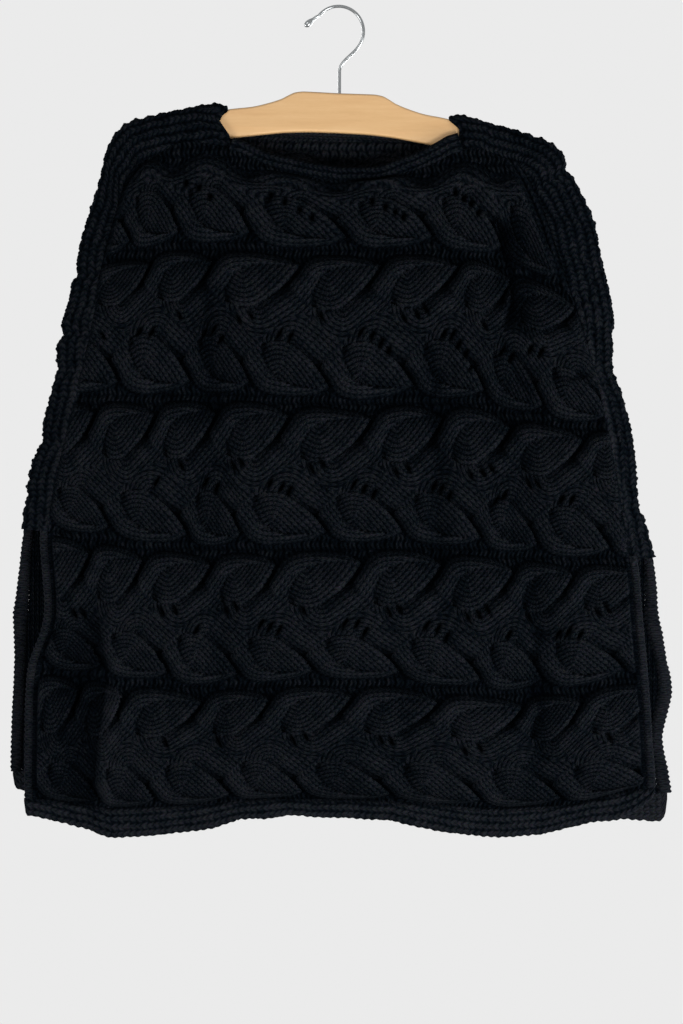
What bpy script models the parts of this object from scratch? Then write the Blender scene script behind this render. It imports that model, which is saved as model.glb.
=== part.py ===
"""A cable-knit poncho hanging on a flat wooden hanger.

Millimetres, turned into metres when a mesh is made. The origin is where the inside of the hook
rests on a peg. X runs to the right as seen from the front, Y to the back and Z up. The tables hold
"drop", the distance below the hook's bearing.
"""

import math

import bmesh
import bpy
import numpy as np
from mathutils import Matrix, Vector
from mathutils.geometry import delaunay_2d_cdt

MM = 0.001
SEAM_GAP = 0.3

# ---- knitted panels -------------------------------------------------------------------------
WALL = 4.0  # plain knit, measured from the inside to the recessed channels
EDGE_WALL = 4.6  # bands, hems and borders
STATIONS = np.linspace(-1.0, 1.0, 9)  # across the panel, left edge to right edge
SOFTENING = ((0.25, -0.06), (0.5, 0.0), (0.25, 0.06))  # weights that round the bends at stations

# One row for each line that runs across the front: the line's name, the panel's left and right
# edge there, and the drop at the nine stations.
FRONT_LINES = (
    ("yoke top", -201, 179, (157, 133, 142, 165, 174, 174, 162, 139, 157)),
    ("cable 1 top", -214, 201, (178, 167, 168, 181, 186, 182, 179, 173, 198)),
    ("channel 1", -236, 232, (256, 241, 240, 244, 246, 245, 245, 260, 288)),
    ("band 2 middle", -245, 252, (314, 310, 313, 319, 320, 316, 318, 335, 356)),
    ("channel 2", -262, 267, (389, 392, 389, 392, 398, 394, 396, 414, 421)),
    ("band 3 middle", -280, 279, (464, 467, 467, 469, 470, 469, 473, 484, 485)),
    ("channel 3", -289, 289, (523, 535, 542, 541, 538, 538, 545, 552, 554)),
    ("band 4 middle", -285, 294, (606, 609, 609, 613, 613, 613, 618, 617, 613)),
    ("channel 4", -301, 299, (661, 670, 679, 676, 672, 676, 685, 682, 669)),
    ("band 5 middle", -304, 303, (737, 742, 738, 736, 738, 737, 744, 742, 729)),
    ("cable 5 foot", -304, 305, (788, 798, 795, 788, 789, 792, 798, 795, 777)),
)
FRONT_HEM = (806, 827, 822, 810, 809, 818, 826, 820, 797)

# The back has a higher neck and stands past the front at both vents.
BACK_LINES = (
    ("yoke top", -201, 179, (157, 133, 130, 131, 132, 133, 134, 139, 157)),
    ("cable 1 top", -214, 201, (178, 164, 161, 161, 162, 164, 168, 173, 198)),
    ("channel 1", -236, 232, (256, 243, 237, 235, 236, 239, 245, 260, 288)),
    ("band 2 middle", -246, 252, (314, 311, 309, 308, 309, 313, 320, 335, 356)),
    ("channel 2", -265, 267, (389, 388, 386, 386, 387, 391, 398, 413, 421)),
    ("band 3 middle", -289, 283, (464, 463, 462, 462, 463, 467, 474, 482, 485)),
    ("channel 3", -306, 306, (522, 530, 533, 534, 535, 538, 544, 550, 552)),
    ("band 4 middle", -312, 308, (600, 603, 604, 604, 605, 608, 612, 614, 613)),
    ("channel 4", -315, 321, (658, 664, 667, 667, 668, 671, 676, 677, 672)),
    ("band 5 middle", -318, 313, (724, 730, 732, 732, 733, 735, 738, 738, 734)),
    ("cable 5 foot", -319, 321, (764, 776, 780, 781, 782, 785, 789, 790, 786)),
)
BACK_HEM = (782, 798, 803, 805, 806, 808, 811, 812, 809)

# The pointed right-hand tips of the cable's lobes at the edge of the cable, from left to right.
# An upper cable opens to the channel above it, a lower one to the channel below it.
FRONT_CABLES = (
    ("1 lower", (-264, -209, -161, -90, 6, 91, 161, 217, 281, 345)),
    ("2 upper", (-249, -190, -128, -41, 39, 116, 169, 233, 301, 365)),
    ("2 lower", (-289, -221, -149, -90, -11, 73, 143, 201, 267, 335)),
    ("3 upper", (-244, -184, -124, -51, 31, 101, 169, 241, 301, 365)),
    ("3 lower", (-289, -229, -151, -99, -14, 61, 139, 196, 268, 335)),
    ("4 upper", (-249, -196, -127, -64, 21, 101, 171, 231, 301, 370)),
    ("4 lower", (-294, -236, -171, -102, -27, 58, 139, 201, 281, 350)),
    ("5 upper", (-259, -214, -137, -71, 11, 96, 181, 238, 311, 375)),
    ("5 lower", (-299, -239, -184, -109, -37, 49, 139, 218, 306, 375)),
)
LOBE_LEAN = 53.0  # how far a lobe's crease runs sideways over the height of its cable
LEAN_START = 0.15  # both as shares of the cable's height, from its outer edge
LEAN_END = 0.68
LOBE_COLUMNS = (0.0, 0.07, 0.22, 0.43, 0.86)  # mesh columns in a lobe, from its crease
CABLE_ROWS = (0.0, 0.07, 0.15, 0.36, 0.64)  # mesh rows in a cable, from its channel
YOKE_ROWS = (0.0, 0.4, 0.75)

# Height of a lobe over the channel, from crease to crease: the raised strand, the shallow groove
# beside it, the leaf, and the next crease.
LOBE_ALONG = (0.0, 0.07, 0.22, 0.43, 0.86, 1.0)
LOBE_HEIGHT = (1.5, 7.0, 9.0, 5.5, 7.5, 1.5)
CABLE_MIDDLE_HEIGHT = 5.0
CABLE_RIM_HEIGHT = 6.0

# Half the hollow's depth at the side seams and how much the middle stands out, by line.
SEAM_DEPTH = (9.0, 10.0, 12.0, 13.5, 15.0, 16.5, 17.5, 18.5, 19.0, 19.5, 20.0)
CROWN = (0.5, 1.0, 3.5, 5.0, 6.0, 7.0, 8.0, 9.0, 10.0, 11.0, 12.0)

# Soft folds: top and bottom of the fold's line, half its width, and how far it goes in (+) or
# stands out (-).
FRONT_FOLDS = (
    ("right crease", 160, 205, 166, 330, 13, 8.0),
    ("below the right crease", 164, 330, 185, 560, 24, 5.0),
    ("left of centre", -134, 250, -124, 560, 24, 4.5),
    ("right of centre", 92, 330, 100, 620, 22, 3.5),
    ("lower right", 195, 560, 205, 830, 26, 4.5),
    ("lower left", -262, 620, -268, 850, 26, 7.0),
    ("lower left ridge", -228, 640, -232, 850, 18, -4.0),
    ("hem middle", -20, 700, -15, 850, 45, 3.0),
)
BACK_FOLDS = (
    ("back left", -150, 260, -165, 700, 26, 5.0),
    ("back middle", 20, 380, 35, 850, 34, 4.0),
    ("back right", 170, 240, 190, 560, 20, 5.0),
    ("back lower right", 235, 600, 245, 850, 26, -4.0),
    ("back lower left", -235, 560, -245, 850, 24, 4.0),
)

# ---- shoulder-and-side bands ----------------------------------------------------------------
# Where the garment's outline lies for places along the panel's edge: -1 at the neck, 0 at the
# panel's upper corner, then the number of the line that meets the side.
LEFT_OUTLINE = (
    (-1.0, -114, 95.6), (-0.7, -137, 97.5), (-0.45, -161, 102.5), (-0.22, -186, 107.5),
    (0.0, -212, 116.5), (0.5, -226, 131), (1.0, -232, 144), (1.25, -239, 172),
    (1.5, -249, 205), (1.75, -258, 233), (2.0, -262, 256), (2.3, -266, 273),
    (2.6, -269, 292), (3.0, -276, 314), (3.25, -281, 333), (3.6, -282, 360),
    (4.0, -289, 389), (4.3, -295, 412), (4.6, -298, 432), (5.0, -309, 464),
    (5.5, -313, 493), (6.0, -316, 521),
)
RIGHT_OUTLINE = (
    (-1.0, 115, 105.8), (-0.7, 132, 109.6), (-0.4, 154, 116.5), (-0.2, 170, 120.5),
    (0.0, 190, 126.5), (0.5, 219, 142), (1.0, 238, 178), (1.33, 254, 212),
    (1.66, 262, 249), (2.0, 270, 286), (2.5, 274, 317), (3.0, 272, 356), (3.5, 283, 389),
    (4.0, 292, 421), (4.5, 296, 452), (5.0, 298, 485), (5.5, 306, 517), (6.0, 315, 549),
)
NECK_LEFT_X = -105  # ends of the neckband on the panels' top line
NECK_RIGHT_X = 119
SHOULDER_COLUMNS = 7
BAND_STEPS = 6  # across a band, from its front seam over the edge to its back seam
BAND_SQUARENESS = 4.2  # exponent of the band's section: 2 is an ellipse
VENT_LINE = 6

# ---- neckbands, hems and vent borders -------------------------------------------------------
# Upper edge of the neckband at even steps from its left end to its right end.
FRONT_NECKLINE = (131, 145, 151.5, 157, 160, 160, 152, 141, 126)
BACK_NECKLINE = (112, 114.5, 116, 117, 118, 119.5, 121, 122.5, 124)
NECKBAND_END_GAP = 0.8
NECKBAND_TAPER = 0.05  # how much narrower its upper edge is
BORDER_WIDTH = 9.0
BORDER_THICKNESS = 8.0

# ---- hanger ---------------------------------------------------------------------------------
BOARD_THICKNESS = 12.0
BOARD_TILT = math.radians(2.5)
BOARD_TOP_DROP = 85.8  # the middle of the board's top edge
BOARD_TIP_RADIUS = 11.0
BOARD_REACH = 215.5  # from the hook to the tip of an arm
BOARD_EDGE_ROUND = 2.4
# Half of the board's outline: distance from the hook and height from the middle of the top edge.
BOARD_TOP = ((0, 0), (34, 0.3), (43, -0.8), (50, -4), (57, -8), (70, -12.8), (86, -17.2),
             (107, -20.4), (150, -30.8), (185, -40.0), (206, -48.0))
BOARD_BOTTOM = ((0, -39.4), (25, -39.7), (51, -41.3), (76, -44.6), (101, -48.5), (150, -57.5),
                (185, -65.5), (206, -70.0))
WIRE_RADIUS = 1.6
HOOK_RADIUS = 25.0  # of the wire's centre line
HOOK_CENTRE_X = -0.5
SHANK_X = 0.5
SCREW_DEPTH = 22.0
SCREW_HOLE_RADIUS = 1.95

# Colours as linear RGB
WOOL_BLACK = (0.0065, 0.0070, 0.0085, 1.0)
MAPLE = (0.62, 0.40, 0.20, 1.0)
CHROME = (0.55, 0.56, 0.58, 1.0)


# ---- interpolation --------------------------------------------------------------------------
def through_rows(values, position):
    """A smooth curve through rows of values, one row for each whole number of position."""
    values = np.asarray(values, float)
    position = np.broadcast_to(np.asarray(position, float), values.shape[1:] or np.shape(position))
    last = len(values) - 1
    row = np.clip(np.floor(position + 1e-9).astype(int), 0, last - 1)
    t = position - row

    def value(offset):
        index = np.clip(row + offset, 0, last)
        if values.ndim == 1:
            return values[index]
        return np.take_along_axis(values, index[None, ...], axis=0)[0]

    before, here, after, beyond = value(-1), value(0), value(1), value(2)
    return here + 0.5 * t * (
        after - before
        + t * (2 * before - 5 * here + 4 * after - beyond + t * (3 * (here - after) + beyond - before))
    )


def through_points(knots, values, at):
    """A monotone smooth curve through uneven knots, so that it never overshoots."""
    knots, values = np.asarray(knots, float), np.asarray(values, float)
    step, rise = np.diff(knots), np.diff(values)
    slope = rise / step
    inner = np.where(
        slope[:-1] * slope[1:] > 0,
        2 * slope[:-1] * slope[1:] / (slope[:-1] + slope[1:] + 1e-12),
        0.0,
    )
    tangent = np.concatenate([[slope[0]], inner, [slope[-1]]])
    i = np.clip(np.searchsorted(knots, at, side="right") - 1, 0, len(step) - 1)
    t = (np.asarray(at, float) - knots[i]) / step[i]
    return (
        values[i] * (1 + 2 * t) * (1 - t) ** 2
        + values[i + 1] * t * t * (3 - 2 * t)
        + step[i] * t * (1 - t) * (tangent[i] * (1 - t) - tangent[i + 1] * t)
    )


def soft_step(value, start, end):
    t = np.clip((value - start) / (end - start), 0.0, 1.0)
    return t * t * (3 - 2 * t)


# ---- a panel's plain form -------------------------------------------------------------------
class Panel:
    """One knitted panel: its lines, folds and the side of the hollow it lies on."""

    def __init__(self, lines, hem, folds, outward, mirror_cables):
        self.left = np.array([row[1] for row in lines], float)
        self.right = np.array([row[2] for row in lines], float)
        self.drops = np.array([row[3] for row in lines], float)
        self.hem = np.array(hem, float)
        self.folds = folds
        self.outward = outward
        if mirror_cables:
            self.tips = [tuple(-x for x in reversed(row[1])) for row in FRONT_CABLES]
        else:
            self.tips = [row[1] for row in FRONT_CABLES]
        self.lean = -1.0 if mirror_cables else 1.0

    def edges(self, line):
        return through_rows(self.left, line), through_rows(self.right, line)

    def across(self, line, x):
        left, right = self.edges(line)
        return np.clip(2 * (x - left) / (right - left) - 1, -1, 1)

    def drop(self, line, x):
        share = self.across(line, x)
        rows = [
            sum(weight * np.interp(share + shift, STATIONS, row) for weight, shift in SOFTENING)
            for row in self.drops
        ]
        return through_rows(np.array(rows), line)

    def fold(self, x, drop):
        depth = np.zeros(np.broadcast(x, drop).shape)
        for _, x_top, top, x_bottom, bottom, half_width, inward in self.folds:
            along = (drop - top) / (bottom - top)
            centre = x_top + (x_bottom - x_top) * along
            ends = soft_step(along, -0.08, 0.22) * (1 - soft_step(along, 0.8, 1.08))
            depth += inward * ends * np.exp(-(((x - centre) / half_width) ** 2))
        return depth

    def inside(self, line, x, drop):
        """Y of the plain inside."""
        share = self.across(line, x)
        seam = through_rows(SEAM_DEPTH, line)
        crown = through_rows(CROWN, line) * (1 - np.abs(share) ** 3)
        fade = 1 - np.abs(share) ** 6
        return self.outward * (seam + crown - self.fold(x, drop) * fade)


FRONT = Panel(FRONT_LINES, FRONT_HEM, FRONT_FOLDS, -1.0, False)
BACK = Panel(BACK_LINES, BACK_HEM, BACK_FOLDS, 1.0, True)


# ---- cables ---------------------------------------------------------------------------------
def lobe_height(along, from_edge):
    """Height over the channel; along runs 0 to 1 between creases, from_edge 0 at the channel."""
    lobe = np.interp(along, LOBE_ALONG, LOBE_HEIGHT)
    middle = soft_step(from_edge, LEAN_END - 0.08, 1.0)
    height = lobe * (1 - middle) + CABLE_MIDDLE_HEIGHT * middle
    rim = 1 - soft_step(from_edge, CABLE_ROWS[1], CABLE_ROWS[3])
    height = np.maximum(height, CABLE_RIM_HEIGHT * rim)
    return height * soft_step(from_edge, CABLE_ROWS[1], CABLE_ROWS[2])


def cable_rows():
    """The mesh's rows: (line, cable or None, share of the cable's height from its edge)."""
    rows = [(share, None, 0.0) for share in YOKE_ROWS]
    for cable in range(len(FRONT_CABLES)):
        top = cable + 1
        if cable % 2 == 0:
            rows += [(top + 1 - share, cable, share) for share in (1.0,) + CABLE_ROWS[:0:-1]]
        else:
            rows += [(top + share, cable, share) for share in CABLE_ROWS]
    rows.append((float(len(FRONT_CABLES) + 1), len(FRONT_CABLES) - 1, 0.0))
    return rows


ROWS = cable_rows()
LOBES = len(FRONT_CABLES[0][1]) - 1
COLUMNS = np.array([lobe + share for lobe in range(LOBES) for share in LOBE_COLUMNS] + [LOBES])
MIN_COLUMN = 2.6


def leaned(panel, cable, share):
    """X of each mesh column in a cable, its creases following the columns."""
    columns = COLUMNS if panel.lean > 0 else LOBES - COLUMNS[::-1]
    tips = np.interp(columns, np.arange(LOBES + 1), panel.tips[cable])
    lean = LOBE_LEAN * np.clip(share - LEAN_START, 0, LEAN_END - LEAN_START)
    return tips - panel.lean * lean


def shoulder_spacing(panel):
    """X of the mesh columns on the top line, which the bands and the neckband share."""
    left, right = panel.left[0], panel.right[0]
    middle = len(COLUMNS) - 2 * SHOULDER_COLUMNS
    return np.concatenate([
        np.linspace(left, NECK_LEFT_X, SHOULDER_COLUMNS + 1)[:-1],
        np.linspace(NECK_LEFT_X, NECK_RIGHT_X, middle),
        np.linspace(NECK_RIGHT_X, right, SHOULDER_COLUMNS + 1)[1:],
    ])


def column_x(panel, row):
    line, cable, share = ROWS[row]
    if cable is None:
        first = leaned(panel, 0, 1.0)
        x = shoulder_spacing(panel) * (1 - line) + first * line
    elif share == 1.0 and cable > 0:
        x = 0.5 * (leaned(panel, cable, share) + leaned(panel, cable - 1, share))
    elif share == 0.0 and 0 < cable < len(FRONT_CABLES) - 1:
        x = 0.5 * (leaned(panel, cable, share) + leaned(panel, cable - 1, share))
    else:
        x = leaned(panel, cable, share)
    left, right = panel.edges(line)
    count = len(x) - 1
    step = np.arange(count + 1) * MIN_COLUMN
    x = np.maximum(x, left + step)
    x = np.minimum(x, right - step[::-1])
    x[0], x[-1] = left, right
    return x


def panel_grids(panel):
    """Outer and inner points of the panel, one row of columns for each mesh row."""
    outer, inner = [], []
    columns = COLUMNS if panel.lean > 0 else LOBES - COLUMNS[::-1]
    along = np.mod(columns, 1.0) if panel.lean > 0 else np.mod(LOBES - columns, 1.0)
    for row, (line, cable, share) in enumerate(ROWS):
        x = column_x(panel, row)
        drop = panel.drop(line, x)
        y = panel.inside(line, x, drop)
        relief = np.zeros(len(x)) if cable is None else lobe_height(along, share)
        relief = relief * soft_step(np.minimum(x - x[0], x[-1] - x), 0.0, 9.0)
        inner.append(np.stack([x, y, -drop], axis=1))
        outer.append(np.stack([x, y + panel.outward * (WALL + relief), -drop], axis=1))
    return np.array(outer), np.array(inner)


# ---- meshes ---------------------------------------------------------------------------------
def clear_scene():
    for thing in list(bpy.data.objects):
        bpy.data.objects.remove(thing, do_unlink=True)


def material(name, colour, roughness, metallic):
    made = bpy.data.materials.new(name)
    made.use_nodes = True
    shader = made.node_tree.nodes["Principled BSDF"]
    shader.inputs["Base Color"].default_value = colour
    shader.inputs["Roughness"].default_value = roughness
    shader.inputs["Metallic"].default_value = metallic
    made.diffuse_color = colour
    return made


def new_collection(name):
    made = bpy.data.collections.new(name)
    bpy.context.scene.collection.children.link(made)
    return made


def grid_faces(rows, columns, start=0, around=False):
    """Quads of a grid of points; around joins the last column to the first."""
    faces = []
    for r in range(rows - 1):
        for c in range(columns if around else columns - 1):
            d = (c + 1) % columns
            a = start + r * columns
            faces.append((a + c, a + d, a + columns + d, a + columns + c))
    return faces


def boundary(rows, columns):
    """Indices round the rim of a grid, in order."""
    top = [(0, c) for c in range(columns)]
    right = [(r, columns - 1) for r in range(1, rows)]
    bottom = [(rows - 1, c) for c in range(columns - 2, -1, -1)]
    left = [(r, 0) for r in range(rows - 2, 0, -1)]
    return top + right + bottom + left


def shell(name, outer, inner, sparse, finish, collection):
    """A wall between a fine outer grid and a plain inside that keeps few points within its rim."""
    rows, columns = outer.shape[:2]
    rim = boundary(rows, columns)
    points = [tuple(p) for p in outer.reshape(-1, 3)]
    faces = grid_faces(rows, columns)
    loop = [inner[r, c] for r, c in rim]
    kept = [inner[r, c] for r in range(sparse, rows - sparse + 1, sparse)
            for c in range(sparse, columns - sparse + 1, sparse)]
    flat = [Vector((c * 10.0, r * 10.0)) for r, c in rim]
    flat += [Vector((c * 10.0, r * 10.0)) for r in range(sparse, rows - sparse + 1, sparse)
             for c in range(sparse, columns - sparse + 1, sparse)]
    hoop = [(i, (i + 1) % len(rim)) for i in range(len(rim))]
    _, _, triangles, sources, _, _ = delaunay_2d_cdt(flat, hoop, [], 1, 1e-6)
    start = len(points)
    points += [tuple(p) for p in loop + kept]
    for triangle in triangles:
        corners = [start + sources[i][0] for i in triangle]
        faces.append(tuple(corners))
    for i, (r, c) in enumerate(rim):
        j = (i + 1) % len(rim)
        a = r * columns + c
        b = rim[j][0] * columns + rim[j][1]
        faces.append((b, a, start + i, start + j))
    return close_up(name, points, faces, finish, collection)


def close_up(name, points, faces, finish, collection):
    """Turns all faces the same way round, then adds the object."""
    mesh = bpy.data.meshes.new(name)
    mesh.from_pydata(points, [], faces)
    made = bpy.data.objects.new(name, mesh)
    collection.objects.link(made)
    bpy.context.view_layer.objects.active = made
    made.select_set(True)
    bpy.ops.object.mode_set(mode="EDIT")
    bpy.ops.mesh.select_all(action="SELECT")
    bpy.ops.mesh.normals_make_consistent(inside=False)
    bpy.ops.object.mode_set(mode="OBJECT")
    made.select_set(False)
    mesh.transform(Matrix.Scale(MM, 4))
    mesh.shade_smooth()
    mesh.set_sharp_from_angle(angle=math.radians(50))
    mesh.materials.append(finish)
    return made


def plate(name, outer, inner, finish, collection):
    """A wall between two grids of the same size."""
    rows, columns = outer.shape[:2]
    count = rows * columns
    points = [tuple(p) for p in outer.reshape(-1, 3)] + [tuple(p) for p in inner.reshape(-1, 3)]
    faces = grid_faces(rows, columns) + grid_faces(rows, columns, count)
    rim = [r * columns + c for r, c in boundary(rows, columns)]
    for i, a in enumerate(rim):
        b = rim[(i + 1) % len(rim)]
        faces.append((a, b, count + b, count + a))
    return close_up(name, points, faces, finish, collection)


def bar(name, rings, finish, collection):
    """A closed bar through rings of points that all have the same count."""
    rings = np.array(rings)
    count = rings.shape[1]
    points = [tuple(p) for p in rings.reshape(-1, 3)]
    last = (len(rings) - 1) * count
    faces = grid_faces(len(rings), count, around=True)
    faces += [tuple(range(count)), tuple(last + i for i in range(count))]
    return close_up(name, points, faces, finish, collection)


# ---- the garment ----------------------------------------------------------------------------
def seam_chain(side, outer, inner):
    """The panel's edge from the end of the neckband over the shoulder to the vent."""
    last = max(r for r, row in enumerate(ROWS) if row[0] <= VENT_LINE + 1e-9)
    over = list(range(SHOULDER_COLUMNS, 0, -1))
    if side == "left":
        places = [(0, c) for c in over] + [(r, 0) for r in range(last + 1)]
    else:
        end = outer.shape[1] - 1
        places = [(0, end - c) for c in over] + [(r, end) for r in range(last + 1)]
    place = [-c / SHOULDER_COLUMNS for c in over] + [ROWS[r][0] for r in range(last + 1)]
    return (np.array([outer[p] for p in places]), np.array([inner[p] for p in places]), place)


def side_band(name, side, outline, front, back, finish, collection):
    """The band that wraps the edge, from its seam on the front panel to that on the back."""
    front_outer, front_inner, place = seam_chain(side, *front)
    back_outer, back_inner, _ = seam_chain(side, *back)
    knots = [row[0] for row in outline]
    out_x = through_points(knots, [row[1] for row in outline], place)
    out_drop = through_points(knots, [row[2] for row in outline], place)
    outer, inner = [], []
    for i in range(len(place)):
        edge = np.array([out_x[i], 0.0, -out_drop[i]])
        rows = []
        for near, far, wall in ((front_outer[i], back_outer[i], 0.0),
                                (front_inner[i], back_inner[i], EDGE_WALL)):
            middle, half = 0.5 * (near + far), 0.5 * (far - near)
            straight = np.array([0.0, half[1], 0.0])
            reach = edge - middle
            length = np.linalg.norm(reach)
            middle = middle + reach / length * SEAM_GAP
            reach = reach * (length - wall - SEAM_GAP) / length
            ring = []
            for step in range(BAND_STEPS + 1):
                turn = math.pi * (step / BAND_STEPS - 0.5)
                out = max(math.cos(turn), 0.0) ** (2 / BAND_SQUARENESS)
                over = math.copysign(abs(math.sin(turn)) ** (2 / BAND_SQUARENESS), turn)
                ring.append(middle + reach * out + (half + (straight - half) * out) * over)
            rows.append(ring)
        outer.append(rows[0])
        inner.append(rows[1])
    plate(name, np.array(outer), np.array(inner), finish, collection)


def neckband(name, panel, grids, neckline, finish, collection):
    """A flat band from the panel's top edge up to the neckline."""
    outer, inner = grids
    first, last = SHOULDER_COLUMNS, outer.shape[1] - SHOULDER_COLUMNS
    low_outer, low_inner = outer[0, first:last], inner[0, first:last]
    share = np.linspace(0, 1, last - first)
    top = through_points(np.linspace(0, 1, len(neckline)), neckline, share)
    outer_rows, inner_rows = [], []
    for height, thick in ((0.0, 1.0), (0.6, 1.08), (1.0, 0.6)):
        wall = EDGE_WALL * thick
        rows = []
        for base, back in ((low_outer, wall), (low_inner, 0.0)):
            x = base[:, 0] * (1 - NECKBAND_TAPER * height)
            z = base[:, 2] + SEAM_GAP + (-top - base[:, 2] - SEAM_GAP) * height
            y = low_inner[:, 1] + panel.outward * back
            rows.append(np.stack([x, y, z], axis=1))
        outer_rows.append(rows[0])
        inner_rows.append(rows[1])
    for row in outer_rows + inner_rows:
        row[0, 0] += NECKBAND_END_GAP
        row[-1, 0] -= NECKBAND_END_GAP
    plate(name, np.array(outer_rows), np.array(inner_rows), finish, collection)


def hem_band(name, panel, grids, finish, collection):
    """The plain band under the last cable, as wide as the panel with its borders."""
    outer, inner = grids
    line = len(panel.left) - 1
    add = BORDER_WIDTH + SEAM_GAP
    x = np.concatenate([[outer[-1, 0, 0] - add], outer[-1, :, 0], [outer[-1, -1, 0] + add]])
    top = np.concatenate([[outer[-1, 0, 2]], outer[-1, :, 2], [outer[-1, -1, 2]]]) - SEAM_GAP
    share = np.linspace(-1, 1, 9)
    middle = 0.5 * (x[0] + x[-1])
    half = 0.5 * (x[-1] - x[0])
    low = -through_points(share, panel.hem, (x - middle) / half)
    outer_rows, inner_rows = [], []
    for height, thick in ((0.0, 1.0), (0.55, 1.15), (1.0, 0.5)):
        z = top + (low - top) * height
        y = panel.inside(line, x, -top)
        inner_rows.append(np.stack([x, y, z], axis=1))
        outer_rows.append(np.stack([x, y + panel.outward * EDGE_WALL * thick, z], axis=1))
    plate(name, np.array(outer_rows), np.array(inner_rows), finish, collection)


def vent_border(name, panel, grids, side, finish, collection):
    """The rolled border on a vent's edge, from the side band down to the hem band."""
    outer, inner = grids
    column, way = (0, -1.0) if side == "left" else (-1, 1.0)
    places = [r for r, row in enumerate(ROWS) if row[0] >= VENT_LINE - 1e-9]
    rings = []
    for r in places:
        edge = outer[r, column]
        centre = 0.5 * (edge + inner[r, column])
        centre = centre + np.array([way * (SEAM_GAP + BORDER_WIDTH / 2), 0, 0])
        if r == places[0]:
            centre[2] -= 1.4
        ring = []
        for step in range(8):
            turn = 2 * math.pi * (step + 0.5) / 8
            across = math.copysign(abs(math.cos(turn)) ** 0.7, math.cos(turn)) * BORDER_WIDTH / 2
            deep = math.copysign(abs(math.sin(turn)) ** 0.7, math.sin(turn)) * BORDER_THICKNESS / 2
            ring.append(centre + np.array([across, deep, 0]))
        rings.append(ring)
    bar(name, rings, finish, collection)


def build_garment(finish, collection):
    front_outer, front_inner = panel_grids(FRONT)
    back_outer, back_inner = panel_grids(BACK)
    front, back = (front_outer, front_inner), (back_outer, back_inner)
    shell("front_panel", front_outer, front_inner, 4, finish, collection)
    shell("back_panel", back_outer, back_inner, 4, finish, collection)
    neckband("front_neckband", FRONT, front, FRONT_NECKLINE, finish, collection)
    neckband("back_neckband", BACK, back, BACK_NECKLINE, finish, collection)
    side_band("side_band_left", "left", LEFT_OUTLINE, front, back, finish, collection)
    side_band("side_band_right", "right", RIGHT_OUTLINE, front, back, finish, collection)
    hem_band("front_hem_band", FRONT, front, finish, collection)
    hem_band("back_hem_band", BACK, back, finish, collection)
    for label, panel, grids in (("front", FRONT, front), ("back", BACK, back)):
        for side in ("left", "right"):
            vent_border(f"{label}_vent_border_{side}", panel, grids, side, finish, collection)


# ---- the hanger -----------------------------------------------------------------------------
def board_outline():
    """Points of the board's outline, going round from the left arm's tip over the top."""
    tip_x = BOARD_REACH - BOARD_TIP_RADIUS
    top_x = np.concatenate([np.linspace(0, 110, 16), np.linspace(128, tip_x, 5)])
    low_x = np.linspace(0, tip_x, 12)
    top = through_points([p[0] for p in BOARD_TOP], [p[1] for p in BOARD_TOP], top_x)
    low = through_points([p[0] for p in BOARD_BOTTOM], [p[1] for p in BOARD_BOTTOM], low_x)
    centre = 0.5 * (top[-1] + low[-1])
    turns = np.linspace(math.pi / 2, -math.pi / 2, 8)[1:-1]
    tip = [
        (tip_x + BOARD_TIP_RADIUS * math.cos(t), centre + BOARD_TIP_RADIUS * math.sin(t)) for t in turns
    ]
    right = list(zip(top_x, top)) + tip + list(zip(low_x[::-1], low[::-1]))
    left = [(-x, z) for x, z in right[1:-1]]
    return right + left[::-1]


def build_board(finish, collection, cutters):
    outline = board_outline()
    curve = bpy.data.curves.new("hanger_board", "CURVE")
    curve.dimensions = "2D"
    curve.fill_mode = "BOTH"
    curve.extrude = BOARD_THICKNESS / 2 * MM
    spline = curve.splines.new("POLY")
    spline.points.add(len(outline) - 1)
    for point, (x, z) in zip(spline.points, outline):
        point.co = (x * MM, z * MM, 0, 1)
    spline.use_cyclic_u = True
    flat = bpy.data.objects.new("board_outline", curve)
    collection.objects.link(flat)
    bpy.context.view_layer.update()
    graph = bpy.context.evaluated_depsgraph_get()
    mesh = bpy.data.meshes.new_from_object(flat.evaluated_get(graph))
    bpy.data.objects.remove(flat)
    mesh.name = "hanger_board"
    work = bmesh.new()
    work.from_mesh(mesh)
    bmesh.ops.remove_doubles(work, verts=work.verts, dist=1e-6)
    bmesh.ops.dissolve_limit(work, angle_limit=0.001, verts=work.verts, edges=work.edges)
    bmesh.ops.recalc_face_normals(work, faces=work.faces)
    work.to_mesh(mesh)
    work.free()
    mesh.materials.clear()
    mesh.materials.append(finish)
    mesh.shade_smooth()
    mesh.set_sharp_from_angle(angle=math.radians(40))
    board = bpy.data.objects.new("hanger_board", mesh)
    collection.objects.link(board)
    board.matrix_world = (
        Matrix.Translation((0, 0, -BOARD_TOP_DROP * MM))
        @ Matrix.Rotation(BOARD_TILT, 4, "Y")
        @ Matrix.Rotation(math.radians(90), 4, "X")
    )
    soften = board.modifiers.new("Rounded edges", "BEVEL")
    soften.width = BOARD_EDGE_ROUND * MM
    soften.segments = 2
    soften.limit_method = "ANGLE"
    soften.angle_limit = math.radians(60)
    bpy.ops.mesh.primitive_cylinder_add(
        vertices=16, radius=SCREW_HOLE_RADIUS * MM, depth=2 * (SCREW_DEPTH + 1) * MM,
        location=(SHANK_X * MM, 0, -BOARD_TOP_DROP * MM),
    )
    cutter = bpy.context.object
    cutter.name = "screw_hole"
    cutter.hide_render = True
    cutter.display_type = "WIRE"
    for holder in list(cutter.users_collection):
        holder.objects.unlink(cutter)
    cutters.objects.link(cutter)
    hole = board.modifiers.new("Screw hole", "BOOLEAN")
    hole.operation = "DIFFERENCE"
    hole.object = cutter


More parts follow.
